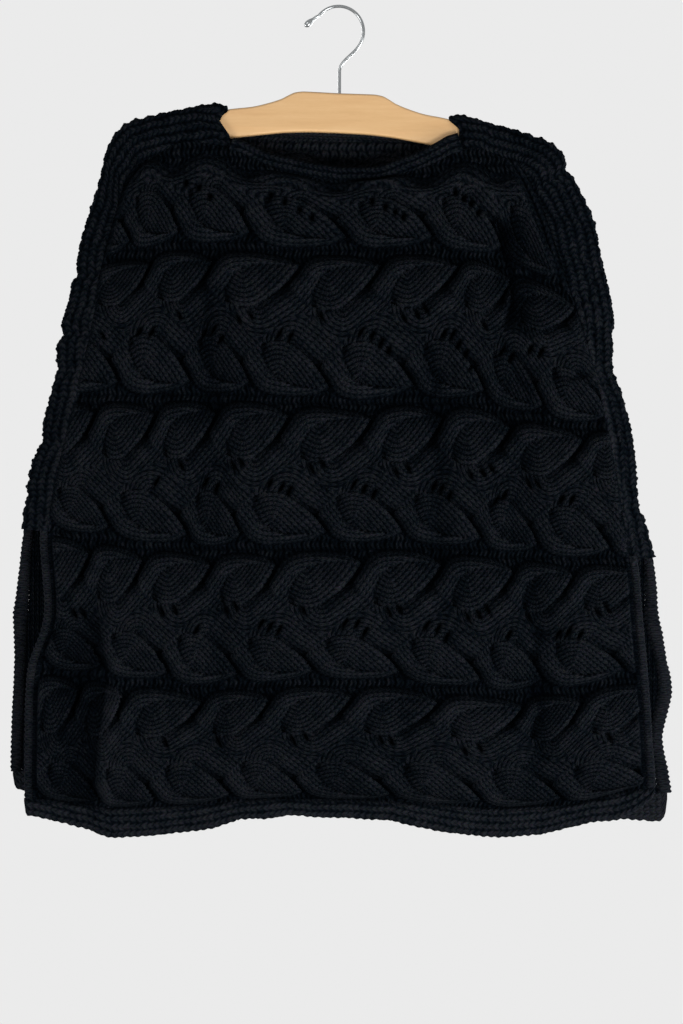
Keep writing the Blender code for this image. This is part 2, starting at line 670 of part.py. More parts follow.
def hook_path():
    """(x, z, radius factor) along the wire, from the screw's end to the beaded tip."""
    centre_z = -(HOOK_RADIUS - WIRE_RADIUS)
    start_z = -BOARD_TOP_DROP - SCREW_DEPTH
    bend_z = -64.0
    right_x = HOOK_CENTRE_X + HOOK_RADIUS
    path = [(SHANK_X, start_z, 1), (SHANK_X, -BOARD_TOP_DROP, 1), (SHANK_X, -74, 1)]
    for t in np.linspace(0, 1, 10)[:-1]:
        x = SHANK_X + (right_x - SHANK_X) * (3 * t * t - 2 * t ** 3)
        z = (bend_z * (1 - t) ** 3 + 3 * (bend_z + 15) * t * (1 - t) ** 2
             + 3 * (centre_z - 22) * t * t * (1 - t) + centre_z * t ** 3)
        path.append((x, z, 1))
    for turn in np.linspace(0, math.radians(142), 15):
        path.append((HOOK_CENTRE_X + HOOK_RADIUS * math.cos(turn),
                     centre_z + HOOK_RADIUS * math.sin(turn), 1))
    path += [(-24.5, -10.6, 1), (-27.0, -12.6, 1.3), (-29.6, -14.8, 1.9), (-32.2, -16.9, 1.9),
             (-34.0, -18.3, 1.2)]
    return path


def build_hook(finish, collection):
    curve = bpy.data.curves.new("hanger_hook", "CURVE")
    curve.dimensions = "3D"
    curve.bevel_depth = WIRE_RADIUS * MM
    curve.bevel_resolution = 2
    curve.use_fill_caps = True
    path = hook_path()
    spline = curve.splines.new("POLY")
    spline.points.add(len(path) - 1)
    for point, (x, z, factor) in zip(spline.points, path):
        point.co = (x * MM, 0, z * MM, 1)
        point.radius = factor
    curve.materials.append(finish)
    hook = bpy.data.objects.new("hanger_hook", curve)
    collection.objects.link(hook)


def main():
    clear_scene()
    parts = new_collection("Cable-knit poncho on a hanger")
    cutters = new_collection("Cutters")
    wool = material("Black wool", WOOL_BLACK, 0.95, 0.0)
    maple = material("Maple", MAPLE, 0.42, 0.0)
    chrome = material("Chrome wire", CHROME, 0.2, 1.0)
    build_garment(wool, parts)
    build_board(maple, parts, cutters)
    build_hook(chrome, parts)


main()
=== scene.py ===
"""The look of a cable-knit poncho on a flat wooden hanger.

Shapes are worked out in millimetres and turned into metres as each mesh is made. X runs to the
right as seen from the front, Y to the back and Z up, from the bearing of the hook. The tables hold
"drop", the distance below that bearing. The cables are raised on fine grids that lie on the same
lines, edges and folds as the plain solids that they stand for.
"""

import math

import bpy
import numpy as np
from mathutils import Matrix, Vector
from mathutils.geometry import delaunay_2d_cdt


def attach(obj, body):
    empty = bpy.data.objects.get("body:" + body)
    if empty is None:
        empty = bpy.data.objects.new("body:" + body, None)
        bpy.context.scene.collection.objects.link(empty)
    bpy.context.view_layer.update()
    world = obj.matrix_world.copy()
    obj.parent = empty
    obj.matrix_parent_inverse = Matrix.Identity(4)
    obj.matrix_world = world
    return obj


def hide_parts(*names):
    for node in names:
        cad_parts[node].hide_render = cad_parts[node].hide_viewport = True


MM = 0.001
SEAM_LAP = 0.5  # how far neighbouring edges reach over each other

# ---- knitted panels -------------------------------------------------------------------------
WALL = 4.0  # plain knit, measured from the inside to the recessed channels
EDGE_WALL = 4.6  # bands, hems and borders
STATIONS = np.linspace(-1.0, 1.0, 9)  # across the panel, left edge to right edge
SOFTENING = ((0.25, -0.06), (0.5, 0.0), (0.25, 0.06))  # weights that round the bends at stations

# One row for each line that runs across the front: the line's name, the panel's left and right
# edge there, and the drop at the nine stations.
FRONT_LINES = (
    ("yoke top", -201, 179, (157, 133, 142, 165, 174, 174, 162, 139, 157)),
    ("cable 1 top", -214, 201, (178, 167, 168, 181, 186, 182, 179, 173, 198)),
    ("channel 1", -236, 232, (256, 241, 240, 244, 246, 245, 245, 260, 288)),
    ("band 2 middle", -245, 252, (314, 310, 313, 319, 320, 316, 318, 335, 356)),
    ("channel 2", -262, 267, (389, 392, 389, 392, 398, 394, 396, 414, 421)),
    ("band 3 middle", -280, 279, (464, 467, 467, 469, 470, 469, 473, 484, 485)),
    ("channel 3", -289, 289, (523, 535, 542, 541, 538, 538, 545, 552, 554)),
    ("band 4 middle", -285, 294, (606, 609, 609, 613, 613, 613, 618, 617, 613)),
    ("channel 4", -301, 299, (661, 670, 679, 676, 672, 676, 685, 682, 669)),
    ("band 5 middle", -304, 303, (737, 742, 738, 736, 738, 737, 744, 742, 729)),
    ("cable 5 foot", -304, 305, (788, 798, 795, 788, 789, 792, 798, 795, 777)),
)
FRONT_HEM = (806, 827, 822, 810, 809, 818, 826, 820, 797)

# The back has a higher neck and stands past the front at both vents.
BACK_LINES = (
    ("yoke top", -201, 179, (157, 133, 130, 131, 132, 133, 134, 139, 157)),
    ("cable 1 top", -214, 201, (178, 164, 161, 161, 162, 164, 168, 173, 198)),
    ("channel 1", -236, 232, (256, 243, 237, 235, 236, 239, 245, 260, 288)),
    ("band 2 middle", -246, 252, (314, 311, 309, 308, 309, 313, 320, 335, 356)),
    ("channel 2", -265, 267, (389, 388, 386, 386, 387, 391, 398, 413, 421)),
    ("band 3 middle", -289, 283, (464, 463, 462, 462, 463, 467, 474, 482, 485)),
    ("channel 3", -306, 306, (522, 530, 533, 534, 535, 538, 544, 550, 552)),
    ("band 4 middle", -312, 308, (600, 603, 604, 604, 605, 608, 612, 614, 613)),
    ("channel 4", -315, 321, (658, 664, 667, 667, 668, 671, 676, 677, 672)),
    ("band 5 middle", -318, 313, (724, 730, 732, 732, 733, 735, 738, 738, 734)),
    ("cable 5 foot", -319, 321, (764, 776, 780, 781, 782, 785, 789, 790, 786)),
)
BACK_HEM = (782, 798, 803, 805, 806, 808, 811, 812, 809)

# The pointed right-hand tips of the cable's lobes at the edge of the cable, from left to right.
# An upper cable opens to the channel above it, a lower one to the channel below it.
FRONT_CABLES = (
    ("1 lower", (-264, -209, -161, -90, 6, 91, 161, 217, 281, 345)),
    ("2 upper", (-249, -190, -128, -41, 39, 116, 169, 233, 301, 365)),
    ("2 lower", (-289, -221, -149, -90, -11, 73, 143, 201, 267, 335)),
    ("3 upper", (-244, -184, -124, -51, 31, 101, 169, 241, 301, 365)),
    ("3 lower", (-289, -229, -151, -99, -14, 61, 139, 196, 268, 335)),
    ("4 upper", (-249, -196, -127, -64, 21, 101, 171, 231, 301, 370)),
    ("4 lower", (-294, -236, -171, -102, -27, 58, 139, 201, 281, 350)),
    ("5 upper", (-259, -214, -137, -71, 11, 96, 181, 238, 311, 375)),
    ("5 lower", (-299, -239, -184, -109, -37, 49, 139, 218, 306, 375)),
)

# Half the hollow's depth at the side seams and how much the middle stands out, by line.
SEAM_DEPTH = (9.0, 10.0, 12.0, 13.5, 15.0, 16.5, 17.5, 18.5, 19.0, 19.5, 20.0)
CROWN = (0.5, 1.0, 3.5, 5.0, 6.0, 7.0, 8.0, 9.0, 10.0, 11.0, 12.0)

# Soft folds: top and bottom of the fold's line, half its width, and how far it goes in (+) or
# stands out (-).
FRONT_FOLDS = (
    ("right crease", 160, 205, 166, 330, 13, 8.0),
    ("below the right crease", 164, 330, 185, 560, 24, 5.0),
    ("left of centre", -134, 250, -124, 560, 24, 4.5),
    ("right of centre", 92, 330, 100, 620, 22, 3.5),
    ("lower right", 195, 560, 205, 830, 26, 4.5),
    ("lower left", -262, 620, -268, 850, 26, 7.0),
    ("lower left ridge", -228, 640, -232, 850, 18, -4.0),
    ("hem middle", -20, 700, -15, 850, 45, 3.0),
)
BACK_FOLDS = (
    ("back left", -150, 260, -165, 700, 26, 5.0),
    ("back middle", 20, 380, 35, 850, 34, 4.0),
    ("back right", 170, 240, 190, 560, 20, 5.0),
    ("back lower right", 235, 600, 245, 850, 26, -4.0),
    ("back lower left", -235, 560, -245, 850, 24, 4.0),
)

# Where the garment's outline lies for places along the panel's edge: -1 at the neck, 0 at the
# panel's upper corner, then the number of the line that meets the side.
LEFT_OUTLINE = (
    (-1.0, -114, 95.6), (-0.7, -137, 97.5), (-0.45, -161, 102.5), (-0.22, -186, 107.5),
    (0.0, -212, 116.5), (0.5, -226, 131), (1.0, -232, 144), (1.25, -239, 172),
    (1.5, -249, 205), (1.75, -258, 233), (2.0, -262, 256), (2.3, -266, 273),
    (2.6, -269, 292), (3.0, -276, 314), (3.25, -281, 333), (3.6, -282, 360),
    (4.0, -289, 389), (4.3, -295, 412), (4.6, -298, 432), (5.0, -309, 464),
    (5.5, -313, 493), (6.0, -316, 521),
)
RIGHT_OUTLINE = (
    (-1.0, 115, 105.8), (-0.7, 132, 109.6), (-0.4, 154, 116.5), (-0.2, 170, 120.5),
    (0.0, 190, 126.5), (0.5, 219, 142), (1.0, 238, 178), (1.33, 254, 212),
    (1.66, 262, 249), (2.0, 270, 286), (2.5, 274, 317), (3.0, 272, 356), (3.5, 283, 389),
    (4.0, 292, 421), (4.5, 296, 452), (5.0, 298, 485), (5.5, 306, 517), (6.0, 315, 549),
)
NECK_LEFT_X = -105  # ends of the neckband on the panels' top line
NECK_RIGHT_X = 119
VENT_LINE = 6  # the sides are open below this line
BAND_SQUARENESS = 4.2  # exponent of a side band's section: 2 is an ellipse
SECTION_POINTS = 241  # of that section before it is divided evenly
OUTLINE_POINTS = 900
RIDGE_APART = 8.8  # from one garter ridge of a band to the next
BAND_STITCH = 6.0
BAND_MIDDLE = (1.2, 2.0)  # places where the band's knit turns from long ridges to blocks,
BAND_LOW = (3.0, 3.8)  # and from blocks to ridges that run across it
BLOCK_LONG = 11.5
CROSS_RIDGE_APART = 5.4
LUMP_LONG = 13.0  # loops of yarn along the band's outer edge
NOTCH_LONG = 6.0
LEFT_NOTCHES = ((267, 4.0), (327, 6.0), (362, 2.0), (432, 2.5), (490, 2.0))  # drop and depth
RIGHT_NOTCHES = ((162, 5.0), (327, 2.0), (500, 2.0))
# How far a band's end at the neck juts towards the neck, from the panel's edge to the shoulder.
BEAK_AT = (0.0, 0.35, 0.7, 0.85, 1.0)
LEFT_BEAK = (0.0, -1.5, -9.0, -5.0, 5.0)
RIGHT_BEAK = (0.0, 2.0, 3.0, -2.0, -8.0)

# ---- neckbands, hems and vent borders -------------------------------------------------------
# Upper edge of the neckband at even steps from its left end to its right end.
FRONT_NECKLINE = (131, 145, 151.5, 157, 160, 160, 152, 141, 126)
BACK_NECKLINE = (112, 114.5, 116, 117, 118, 119.5, 121, 122.5, 124)
NECKBAND_ROWS = 14
NECKBAND_TAPER = 0.05  # how much narrower its upper edge is
NECKBAND_LAP = 5.0  # how far its ends reach under the side bands
NECKBAND_LINE = 6.4  # from one line of stitches to the next, outside
NECKBAND_INSIDE_LINE = 4.8
HEM_ROWS = 20
HEM_LINE = 7.4
HEM_RIB = 7.6
# How far in from its left and right end each hem's lower corner begins to round.
HEM_CORNERS = {"front": (4.0, 34.0), "back": (6.0, 9.0)}
# How much lower each hem's edge hangs than its smooth line, along X.
HEM_UNEVEN = {
    "front": ((-315, 0), (-299, -3), (-274, -6), (-249, -7), (-226, 0), (-124, 0), (-99, -3),
              (-74, -2), (-49, -5), (-24, -2), (26, -2), (51, -5), (76, -2), (101, 0), (201, 0),
              (226, -4), (251, -5), (276, 0)),
    "back": ((270, 0), (301, 4), (330, 6)),
}
EDGE_STITCH = 5.0  # along neckbands and vent borders
BORDER_WIDTH = 9.0
BORDER_THICKNESS = 8.0
BORDER_AROUND = 22  # points round a border
BORDER_BEND = 0.75  # exponent of its section: 1 is an ellipse, lower is squarer
# How much wider each border is than the plain one, along the drop.
BORDER_WIDER = {
    ("front", "left"): ((0, 0), (900, 0)),
    ("front", "right"): ((735, 0), (755, 1.3), (800, 1.3)),
    ("back", "left"): ((515, 2), (560, 3), (585, 5), (605, 7), (625, 5), (650, 3), (770, 3)),
    ("back", "right"): ((540, 0), (570, 2), (585, 4), (625, 6.5), (655, 2.5), (687, 6), (730, 3.5),
                        (762, 6.5), (785, 5)),
}

# ---- hanger ---------------------------------------------------------------------------------
BOARD_THICKNESS = 12.0
BOARD_TILT = math.radians(2.5)
BOARD_TOP_DROP = 85.8  # the middle of the board's top edge
BOARD_TIP_RADIUS = 11.0
BOARD_REACH = 215.5  # from the hook to the tip of an arm
BOARD_EDGE_ROUND = 2.4
# Half of the board's outline: distance from the hook and height from the middle of the top edge.
BOARD_TOP = ((0, 0), (34, 0.3), (43, -0.8), (50, -4), (57, -8), (70, -12.8), (86, -17.2),
             (107, -20.4), (150, -30.8), (185, -40.0), (206, -48.0))
BOARD_BOTTOM = ((0, -39.4), (25, -39.7), (51, -41.3), (76, -44.6), (101, -48.5), (150, -57.5),
                (185, -65.5), (206, -70.0))
WIRE_RADIUS = 1.6
HOOK_RADIUS = 25.0  # of the wire's centre line
HOOK_CENTRE_X = -0.5
SHANK_X = 0.5
BEAD_FROM = -0.026  # the wire left of this, in metres, is the beaded tip
BEAD_FLATNESS = 0.62
HANGER_SMOOTH = math.radians(40)  # edges that bend more stay sharp

# ---- the cables' pattern --------------------------------------------------------------------
# Everything here is drawn for one lobe of an upper cable: along runs to its pointed tip at 0, and
# deep runs from the crown of its outline to the middle of the plait. A lower cable is its mirror.
PERIOD = 80.0
CABLE_HEIGHT = 65.0
CHANNEL_SHARE = 0.05  # of a cable's height that lies in the channel beside it
WALE = 4.3  # from one line of stitches to the next
STITCH = 5.6  # along a line
CREASE = ((0, 9), (-4, 15), (-10, 23), (-18, 32), (-27, 41), (-36, 48))
LEAF_FOOT = ((-36, 48), (-46, 51), (-57, 50.5), (-67, 46))
LEAF_BACK = ((-67, 46), (-66.5, 36), (-62, 26), (-55, 18), (-46, 13), (-34, 10), (-20, 9.5),
             (-8, 9.5), (0, 9))
CROWN_LINE = ((-78, 9), (-74, 5), (-66, 1.8), (-55, 0.2), (-42, 0), (-28, 1), (-14, 3.6), (-3, 8),
              (0, 9))
ROUNDING = 0.16  # how sharply lines turn where two directions meet; lower is rounder
LEAF_ROUNDING = 0.07
BETWEEN_WIDTH = 18.0  # of the part of a leaf where its two edges are about as near
LEAF_END = (-64.5, 44.0)  # the small pocket where a leaf's lines gather
LEAF_END_SIZE = (5.0, 7.0)
LEAF_BOX = ((-70, 3), (5, 56))  # along and deep
STRAND_SPAN = (-2.4, 0.75)  # how far a strand can reach, in periods
PAST_CREASE = 60.0  # the distance that counts on the far side of a crease
TURN_LONG = 15.0  # millimetres of strand for each radian round the end of a crease
STRAND_HEIGHT = 10.8
STRAND_SINK = 3.2  # how much lower a strand is away from its edge
STRAND_SINKS = (10, 24)  # distance from that edge
STRAND_TIP = (18, 44)  # way from the tip over which its edge gets steeper
CREASE_FLOOR = -2.2  # at the tip; it rises to CREASE_END by the pocket
CREASE_END = 5.0
CREASE_RISES = (32, 60)
LEAF_HEIGHT = 9.2
LEAF_BACK_HEIGHT = 5.6
POCKET_DEPTH = 4.6
STITCH_RISE = 0.3
CHANNEL_HEIGHT = -1.2
CHANNEL_BANK = 1.5  # how much higher the foot of a strand's outer rim lies
DASH_APART = 4.6  # the plain channels show as slender upright dashes
DASH_LONG = 8.5
DASH_SWING = 13.0  # drop over which a dash swings to the left and right
OVERHANG = 2.4  # a leaf's rim leans this far over the next strand
OVERHANG_WIDTH = 6.0
OVERHANG_ENDS = (30, 44)
UNDERCUT = 1.4
UNDERCUT_WIDTH = 4.0
UNDERCUT_ENDS = (36, 56)
ROPE_EXTRA = 10.0  # the top cable stands alone, and its far edge lies this far past its middle,
ROPE_SWING = 5.0  # plus or minus this with each lobe
ROPE_SHIFT = 0.42  # of a lobe
ROPE_ROUNDING = 0.25
BANDS = 5

# Eyelets between the stitches of the front: for each, X and drop. They slant to the right below an
# upper leaf and to the left above a lower one.
FRONT_EYELETS_DOWN = (
    (-235, 328), (-159, 308), (-100, 312), (-88, 308), (-19, 308), (64, 310), (77, 307), (86, 302),
    (144, 318), (-157, 457), (-105, 457), (-97, 454), (-28, 460), (-17, 455), (56, 463), (68, 460),
    (130, 466), (142, 464), (151, 460), (188, 475), (197, 475), (-263, 604), (-254, 604),
    (-176, 602), (-163, 600), (-112, 600), (-103, 596), (-36, 600), (49, 602), (59, 599),
    (127, 607), (138, 605), (147, 600), (187, 607), (256, 602), (265, 598), (-172, 732),
    (-120, 730), (-46, 729), (-34, 725), (41, 729), (51, 730), (124, 740), (139, 737), (268, 727),
)
FRONT_EYELETS_UP = (
    (-198, 325), (-186, 325), (-134, 326), (-124, 322), (-117, 332), (-59, 327), (-48, 329),
    (22, 325), (33, 328), (42, 335), (49, 343), (104, 327), (113, 327), (119, 337), (125, 347),
    (131, 359), (162, 344), (171, 350), (190, 342), (201, 344), (-181, 474), (-132, 474),
    (-121, 479), (-68, 475), (-57, 479), (-49, 482), (15, 476), (25, 480), (35, 485), (94, 478),
    (102, 480), (110, 487), (156, 492), (164, 487), (221, 491), (231, 491), (-141, 620),
    (-77, 614), (-68, 617), (-59, 620), (6, 614), (18, 614), (26, 622), (87, 616), (98, 619),
    (107, 627), (168, 625), (218, 624), (228, 622), (239, 625),
)
FRONT_EYELETS_ROUND = (
    (-152, 176), (-139, 181), (-128, 190), (-68, 189), (-54, 195), (-39, 203), (-27, 211),
    (33, 195), (46, 200), (56, 205), (64, 210), (116, 186), (124, 192), (131, 197), (138, 206),
)
EYELET_LENGTH = 5.2
EYELET_WIDTH = 2.1
EYELET_DEPTH = 13.0
EYELET_REACH = 11.0
EYELET_LEAN = (0.5, 0.87)  # its long way, across and down
ROUND_EYELET = (2.6, 3.6)

# Sharp creases of the front along lines of (x, drop): how far each reaches to its left and to its
# right, and how deep it goes. A crease that reaches far to one side is a pleat seen from its edge.
FRONT_CREASES = (
    (((-170, 139), (-190, 153), (-208, 171), (-221, 192), (-231, 222)), 4.5, 3.0, 6.5),
    (((156, 203), (158, 216), (164, 245), (171, 270), (170, 299), (160, 326)), 1.7, 24.0, 10.0),
    (((151, 206), (153, 218), (159, 246), (166, 270), (165, 299), (156, 322)), 5.0, 4.0, -2.2),
    (((160, 326), (176, 367), (196, 396)), 3.0, 12.0, 4.0),
    (((-243, 580), (-238, 620), (-231, 660), (-235, 704), (-241, 744), (-242, 792), (-240, 835)),
     24.0, 2.0, 7.5),
    (((-234, 590), (-228, 625), (-221, 662), (-225, 704), (-231, 744), (-232, 792), (-231, 835)),
     5.0, 9.0, -2.6),
    (((214, 228), (217, 245), (221, 264)), 2.5, 4.0, 5.0),
    (((205, 366), (232, 371), (262, 362)), 3.0, 6.0, 4.0),
    (((-132, 240), (-129, 330), (-126, 420)), 9.0, 9.0, 4.0),
    (((92, 330), (97, 445), (101, 560)), 9.0, 9.0, 4.0),
    (((191, 540), (196, 660), (200, 780)), 9.0, 9.0, 4.0),
    (((-118, 560), (-115, 660), (-112, 760)), 10.0, 10.0, 3.0),
    (((70, 640), (66, 735), (62, 830)), 12.0, 12.0, 3.0),
)

# ---- a panel's surface ----------------------------------------------------------------------
PANEL_ACROSS = 608.0  # the widest panel, for the count of columns
LEAST_ROWS = 6  # from one line of a panel to the next
SPARSE = 9  # points of the outside for each point of the plain inside
SPARSE_BAND = 6
LEFT_STRIP, RIGHT_STRIP = 5.0, 16.0  # ribs beside the shoulder bands
STRIP_LINES = (1.6, 2.3)  # between these lines those ribs end
UPPER_LINES = (1.8, 2.8)  # and here the flatter edge of the upper part
VENT_STRIP = (3.5, 5.5)
LOWEST = -2.8  # the floor of every crease and eyelet, over the plain wall
# painted shade in the soft folds: how much darker the wool is painted,
FOLD_PAINTED_SHADE = 0.55  # for each millimetre that a fold goes in
SEAM_RISE = 4.5  # how far the knit stands out beside the seams, between these lines
SEAM_RISE_LINES = ((1.9, 2.9), (5.3, 6.0))
YOKE_INSIDE_LINE = 8.0
INSIDE_WALE = 4.7
INSIDE_STITCH = 5.0

# The values handed to the wool paint light and shade on it, lighter on high knit and darker in
# creases and hollows: 0 for a height of RAISED_FROM.
RAISED_FROM = -3.0
RAISED_SPAN = 13.0
RAISED_MOST = 1.7
# painted light for the plain inside, and how much lighter a double wall's inner face is painted
INSIDE_PAINTED_LIGHT = 3.6
INSIDE_PAINTED_LIGHTER = 8.0
TORN_ACROSS = 1.2  # a face over which the count of stitches jumps lies in a single stitch
TORN_ALONG = 1.6
KNIT_SMOOTH = math.radians(78)  # edges that bend more stay sharp

# ---- fineness -------------------------------------------------------------------------------
FRONT_STEP = 1.3
BACK_STEP = 2.1
BAND_STEP = 1.6
BAND_AROUND = 72


# ---- interpolation --------------------------------------------------------------------------
def through_rows(values, position):
    """A smooth curve through rows of values, one row for each whole number of position."""
    values = np.asarray(values, float)
    position = np.broadcast_to(np.asarray(position, float), values.shape[1:] or np.shape(position))
    last = len(values) - 1
    row = np.clip(np.floor(position + 1e-9).astype(int), 0, last - 1)
    t = position - row

    def value(offset):
        index = np.clip(row + offset, 0, last)
        if values.ndim == 1:
            return values[index]
        return np.take_along_axis(values, index[None, ...], axis=0)[0]

    before, here, after, beyond = value(-1), value(0), value(1), value(2)
    bend = 3 * (here - after) + beyond - before
    return here + 0.5 * t * (
        after - before + t * (2 * before - 5 * here + 4 * after - beyond + t * bend)
    )


def through_points(knots, values, at):
    """A monotone smooth curve through uneven knots, so that it never overshoots."""
    knots, values = np.asarray(knots, float), np.asarray(values, float)
    step, rise = np.diff(knots), np.diff(values)
    slope = rise / step
    inner = np.where(
        slope[:-1] * slope[1:] > 0,
        2 * slope[:-1] * slope[1:] / (slope[:-1] + slope[1:] + 1e-12),
        0.0,
    )
    tangent = np.concatenate([[slope[0]], inner, [slope[-1]]])
    i = np.clip(np.searchsorted(knots, at, side="right") - 1, 0, len(step) - 1)
    t = (np.asarray(at, float) - knots[i]) / step[i]
    return (
        values[i] * (1 + 2 * t) * (1 - t) ** 2
        + values[i + 1] * t * t * (3 - 2 * t)
        + step[i] * t * (1 - t) * (tangent[i] * (1 - t) - tangent[i + 1] * t)
    )


def soft_step(value, start, end):
    t = np.clip((value - start) / (end - start), 0.0, 1.0)
    return t * t * (3 - 2 * t)


def soft_min(a, b, sharp):
    least = np.minimum(a, b)
    return least - np.log(
        np.exp(-np.clip((a - least) * sharp, 0, 50)) + np.exp(-np.clip((b - least) * sharp, 0, 50))
    ) / sharp


def bell(value, width):
    return np.exp(-((value / width) ** 2))


def wave(value, length=1.0):
    """1 at every whole length and -1 halfway between."""
    return np.cos(2 * math.pi * value / length)


def rounded(value, reach):
    """0 at an edge and 1 from its reach on, like a quarter of a circle."""
    return np.sqrt(np.clip(1 - (1 - np.clip(value / reach, 0, 1)) ** 2, 0, 1))


def garter(across):
    """Broad rounded ridges with narrow grooves between them, one for each whole number."""
    return 1 - 2 * np.abs(np.sin(math.pi * across)) ** 2.4


def ripple(a, b, seed):
    """Slow unevenness between about -1 and 1."""
    return (np.sin(a / 31.0 + 1.7 * seed) * np.sin(b / 43.0 + 2.3 * seed)
            + 0.6 * np.sin(a / 13.0 - b / 19.0 + seed)
            + 0.4 * np.sin(a / 7.1 + b / 9.3 - seed)) / 2


def smooth_line(points, pieces=4):
    """A finer line through the given points."""
    points = np.asarray(points, float)
    at = np.linspace(0, len(points) - 1, (len(points) - 1) * pieces + 1)
    return np.stack([through_rows(points[:, axis], at) for axis in (0, 1)], axis=1)


def extended(line, start, end):
    """The line made longer straight on at its ends."""
    parts = [line]
    if start:
        way = (line[0] - line[1]) / np.linalg.norm(line[0] - line[1])
        parts.insert(0, [line[0] + way * start])
    if end:
        way = (line[-1] - line[-2]) / np.linalg.norm(line[-1] - line[-2])
        parts.append([line[-1] + way * end])
    return np.concatenate(parts)


def from_line(x, y, line):
    """Distance to a line, place along it, side of it, and the unit vector away from it."""
    best = np.full(x.shape, 1e9)
    along, side, away_x, away_y = (np.zeros(x.shape) for _ in range(4))
    run = 0.0
    for a, b in zip(line[:-1], line[1:]):
        d = b - a
        length = np.hypot(*d)
        t = np.clip(((x - a[0]) * d[0] + (y - a[1]) * d[1]) / length ** 2, 0, 1)
        px, py = x - (a[0] + t * d[0]), y - (a[1] + t * d[1])
        far = np.hypot(px, py)
        nearer = far < best
        best = np.where(nearer, far, best)
        along = np.where(nearer, run + t * length, along)
        side = np.where(nearer, np.sign(d[0] * py - d[1] * px), side)
        away_x = np.where(nearer, px / (far + 1e-9), away_x)
        away_y = np.where(nearer, py / (far + 1e-9), away_y)
        run += length
    return best, along, side, away_x, away_y, run


def within(x, y, outline):
    """Which points lie inside a closed outline."""
    hit = np.zeros(x.shape, bool)
    for (x1, y1), (x2, y2) in zip(outline, np.roll(outline, -1, axis=0)):
        hit ^= ((y1 > y) != (y2 > y)) & (x < (x2 - x1) * (y - y1) / (y2 - y1 + 1e-12) + x1)
    return hit


# ---- a panel's plain form -------------------------------------------------------------------
class Panel:
    """One knitted panel: its lines, folds and the side of the hollow it lies on."""

    def __init__(self, lines, hem, folds, outward, mirror_cables):
        self.left = np.array([row[1] for row in lines], float)
        self.right = np.array([row[2] for row in lines], float)
        self.drops = np.array([row[3] for row in lines], float)
        self.hem = np.array(hem, float)
        self.folds = folds
        self.outward = outward
        self.mirror = -1.0 if mirror_cables else 1.0

    def edges(self, line):
        return through_rows(self.left, line), through_rows(self.right, line)

    def across(self, line, x):
        left, right = self.edges(line)
        return np.clip(2 * (x - left) / (right - left) - 1, -1, 1)

    def drop(self, line, x):
        share = self.across(line, x)
        rows = [
            sum(weight * np.interp(share + shift, STATIONS, row) for weight, shift in SOFTENING)
            for row in self.drops
        ]
        return through_rows(np.array(rows), line)

    def fold(self, x, drop):
        depth = np.zeros(np.broadcast(x, drop).shape)
        for _, x_top, top, x_bottom, bottom, half_width, inward in self.folds:
            along = (drop - top) / (bottom - top)
            centre = x_top + (x_bottom - x_top) * along
            ends = soft_step(along, -0.08, 0.22) * (1 - soft_step(along, 0.8, 1.08))
            depth += inward * ends * np.exp(-(((x - centre) / half_width) ** 2))
        return depth

    def inside(self, line, x, drop):
        """Y of the plain inside."""
        share = self.across(line, x)
        seam = through_rows(SEAM_DEPTH, line)
        crown = through_rows(CROWN, line) * (1 - np.abs(share) ** 3)
        fade = 1 - np.abs(share) ** 6
        return self.outward * (seam + crown - self.fold(x, drop) * fade)


FRONT = Panel(FRONT_LINES, FRONT_HEM, FRONT_FOLDS, -1.0, False)
BACK = Panel(BACK_LINES, BACK_HEM, BACK_FOLDS, 1.0, True)


# ---- the cables' relief ---------------------------------------------------------------------
CREASE_LINE = smooth_line(CREASE)
FOOT_LINE = smooth_line(LEAF_FOOT)
BACK_LINE = smooth_line(LEAF_BACK)
OUTER_LINE = smooth_line(CROWN_LINE)
LEAF_OUTLINE = np.concatenate([CREASE_LINE[:-1], FOOT_LINE[:-1], BACK_LINE[:-1]])
CREASE_FROM_LEAF = extended(CREASE_LINE, 30, 30)
FOOT_FROM_LEAF = extended(FOOT_LINE, 40, 40)
CREASE_FROM_STRAND = extended(CREASE_LINE, 14, 0)
OUTER_FROM_STRAND = extended(OUTER_LINE, 20, 0)

FIELDS = ("line", "along", "leaf", "edge", "back", "floor", "rim_side", "push_x", "push_y",
          "pocket")
WORKED = ("height", "u", "v", "shift_x", "shift_drop", "purl", "tone_and_painted_light")


def cable_fields(phase, deep):
    """What an upper cable is like at points given by phase, whole at the tips, and depth."""
    found = {name: np.zeros(phase.shape) for name in FIELDS}
    found["line"] += 1e3
    lobes = range(int(np.floor(phase.min())) - 1, int(np.ceil(phase.max())) + 3)
    lay_strands(found, lobes, phase, deep)
    lay_leaves(found, lobes, phase, deep)
    return found


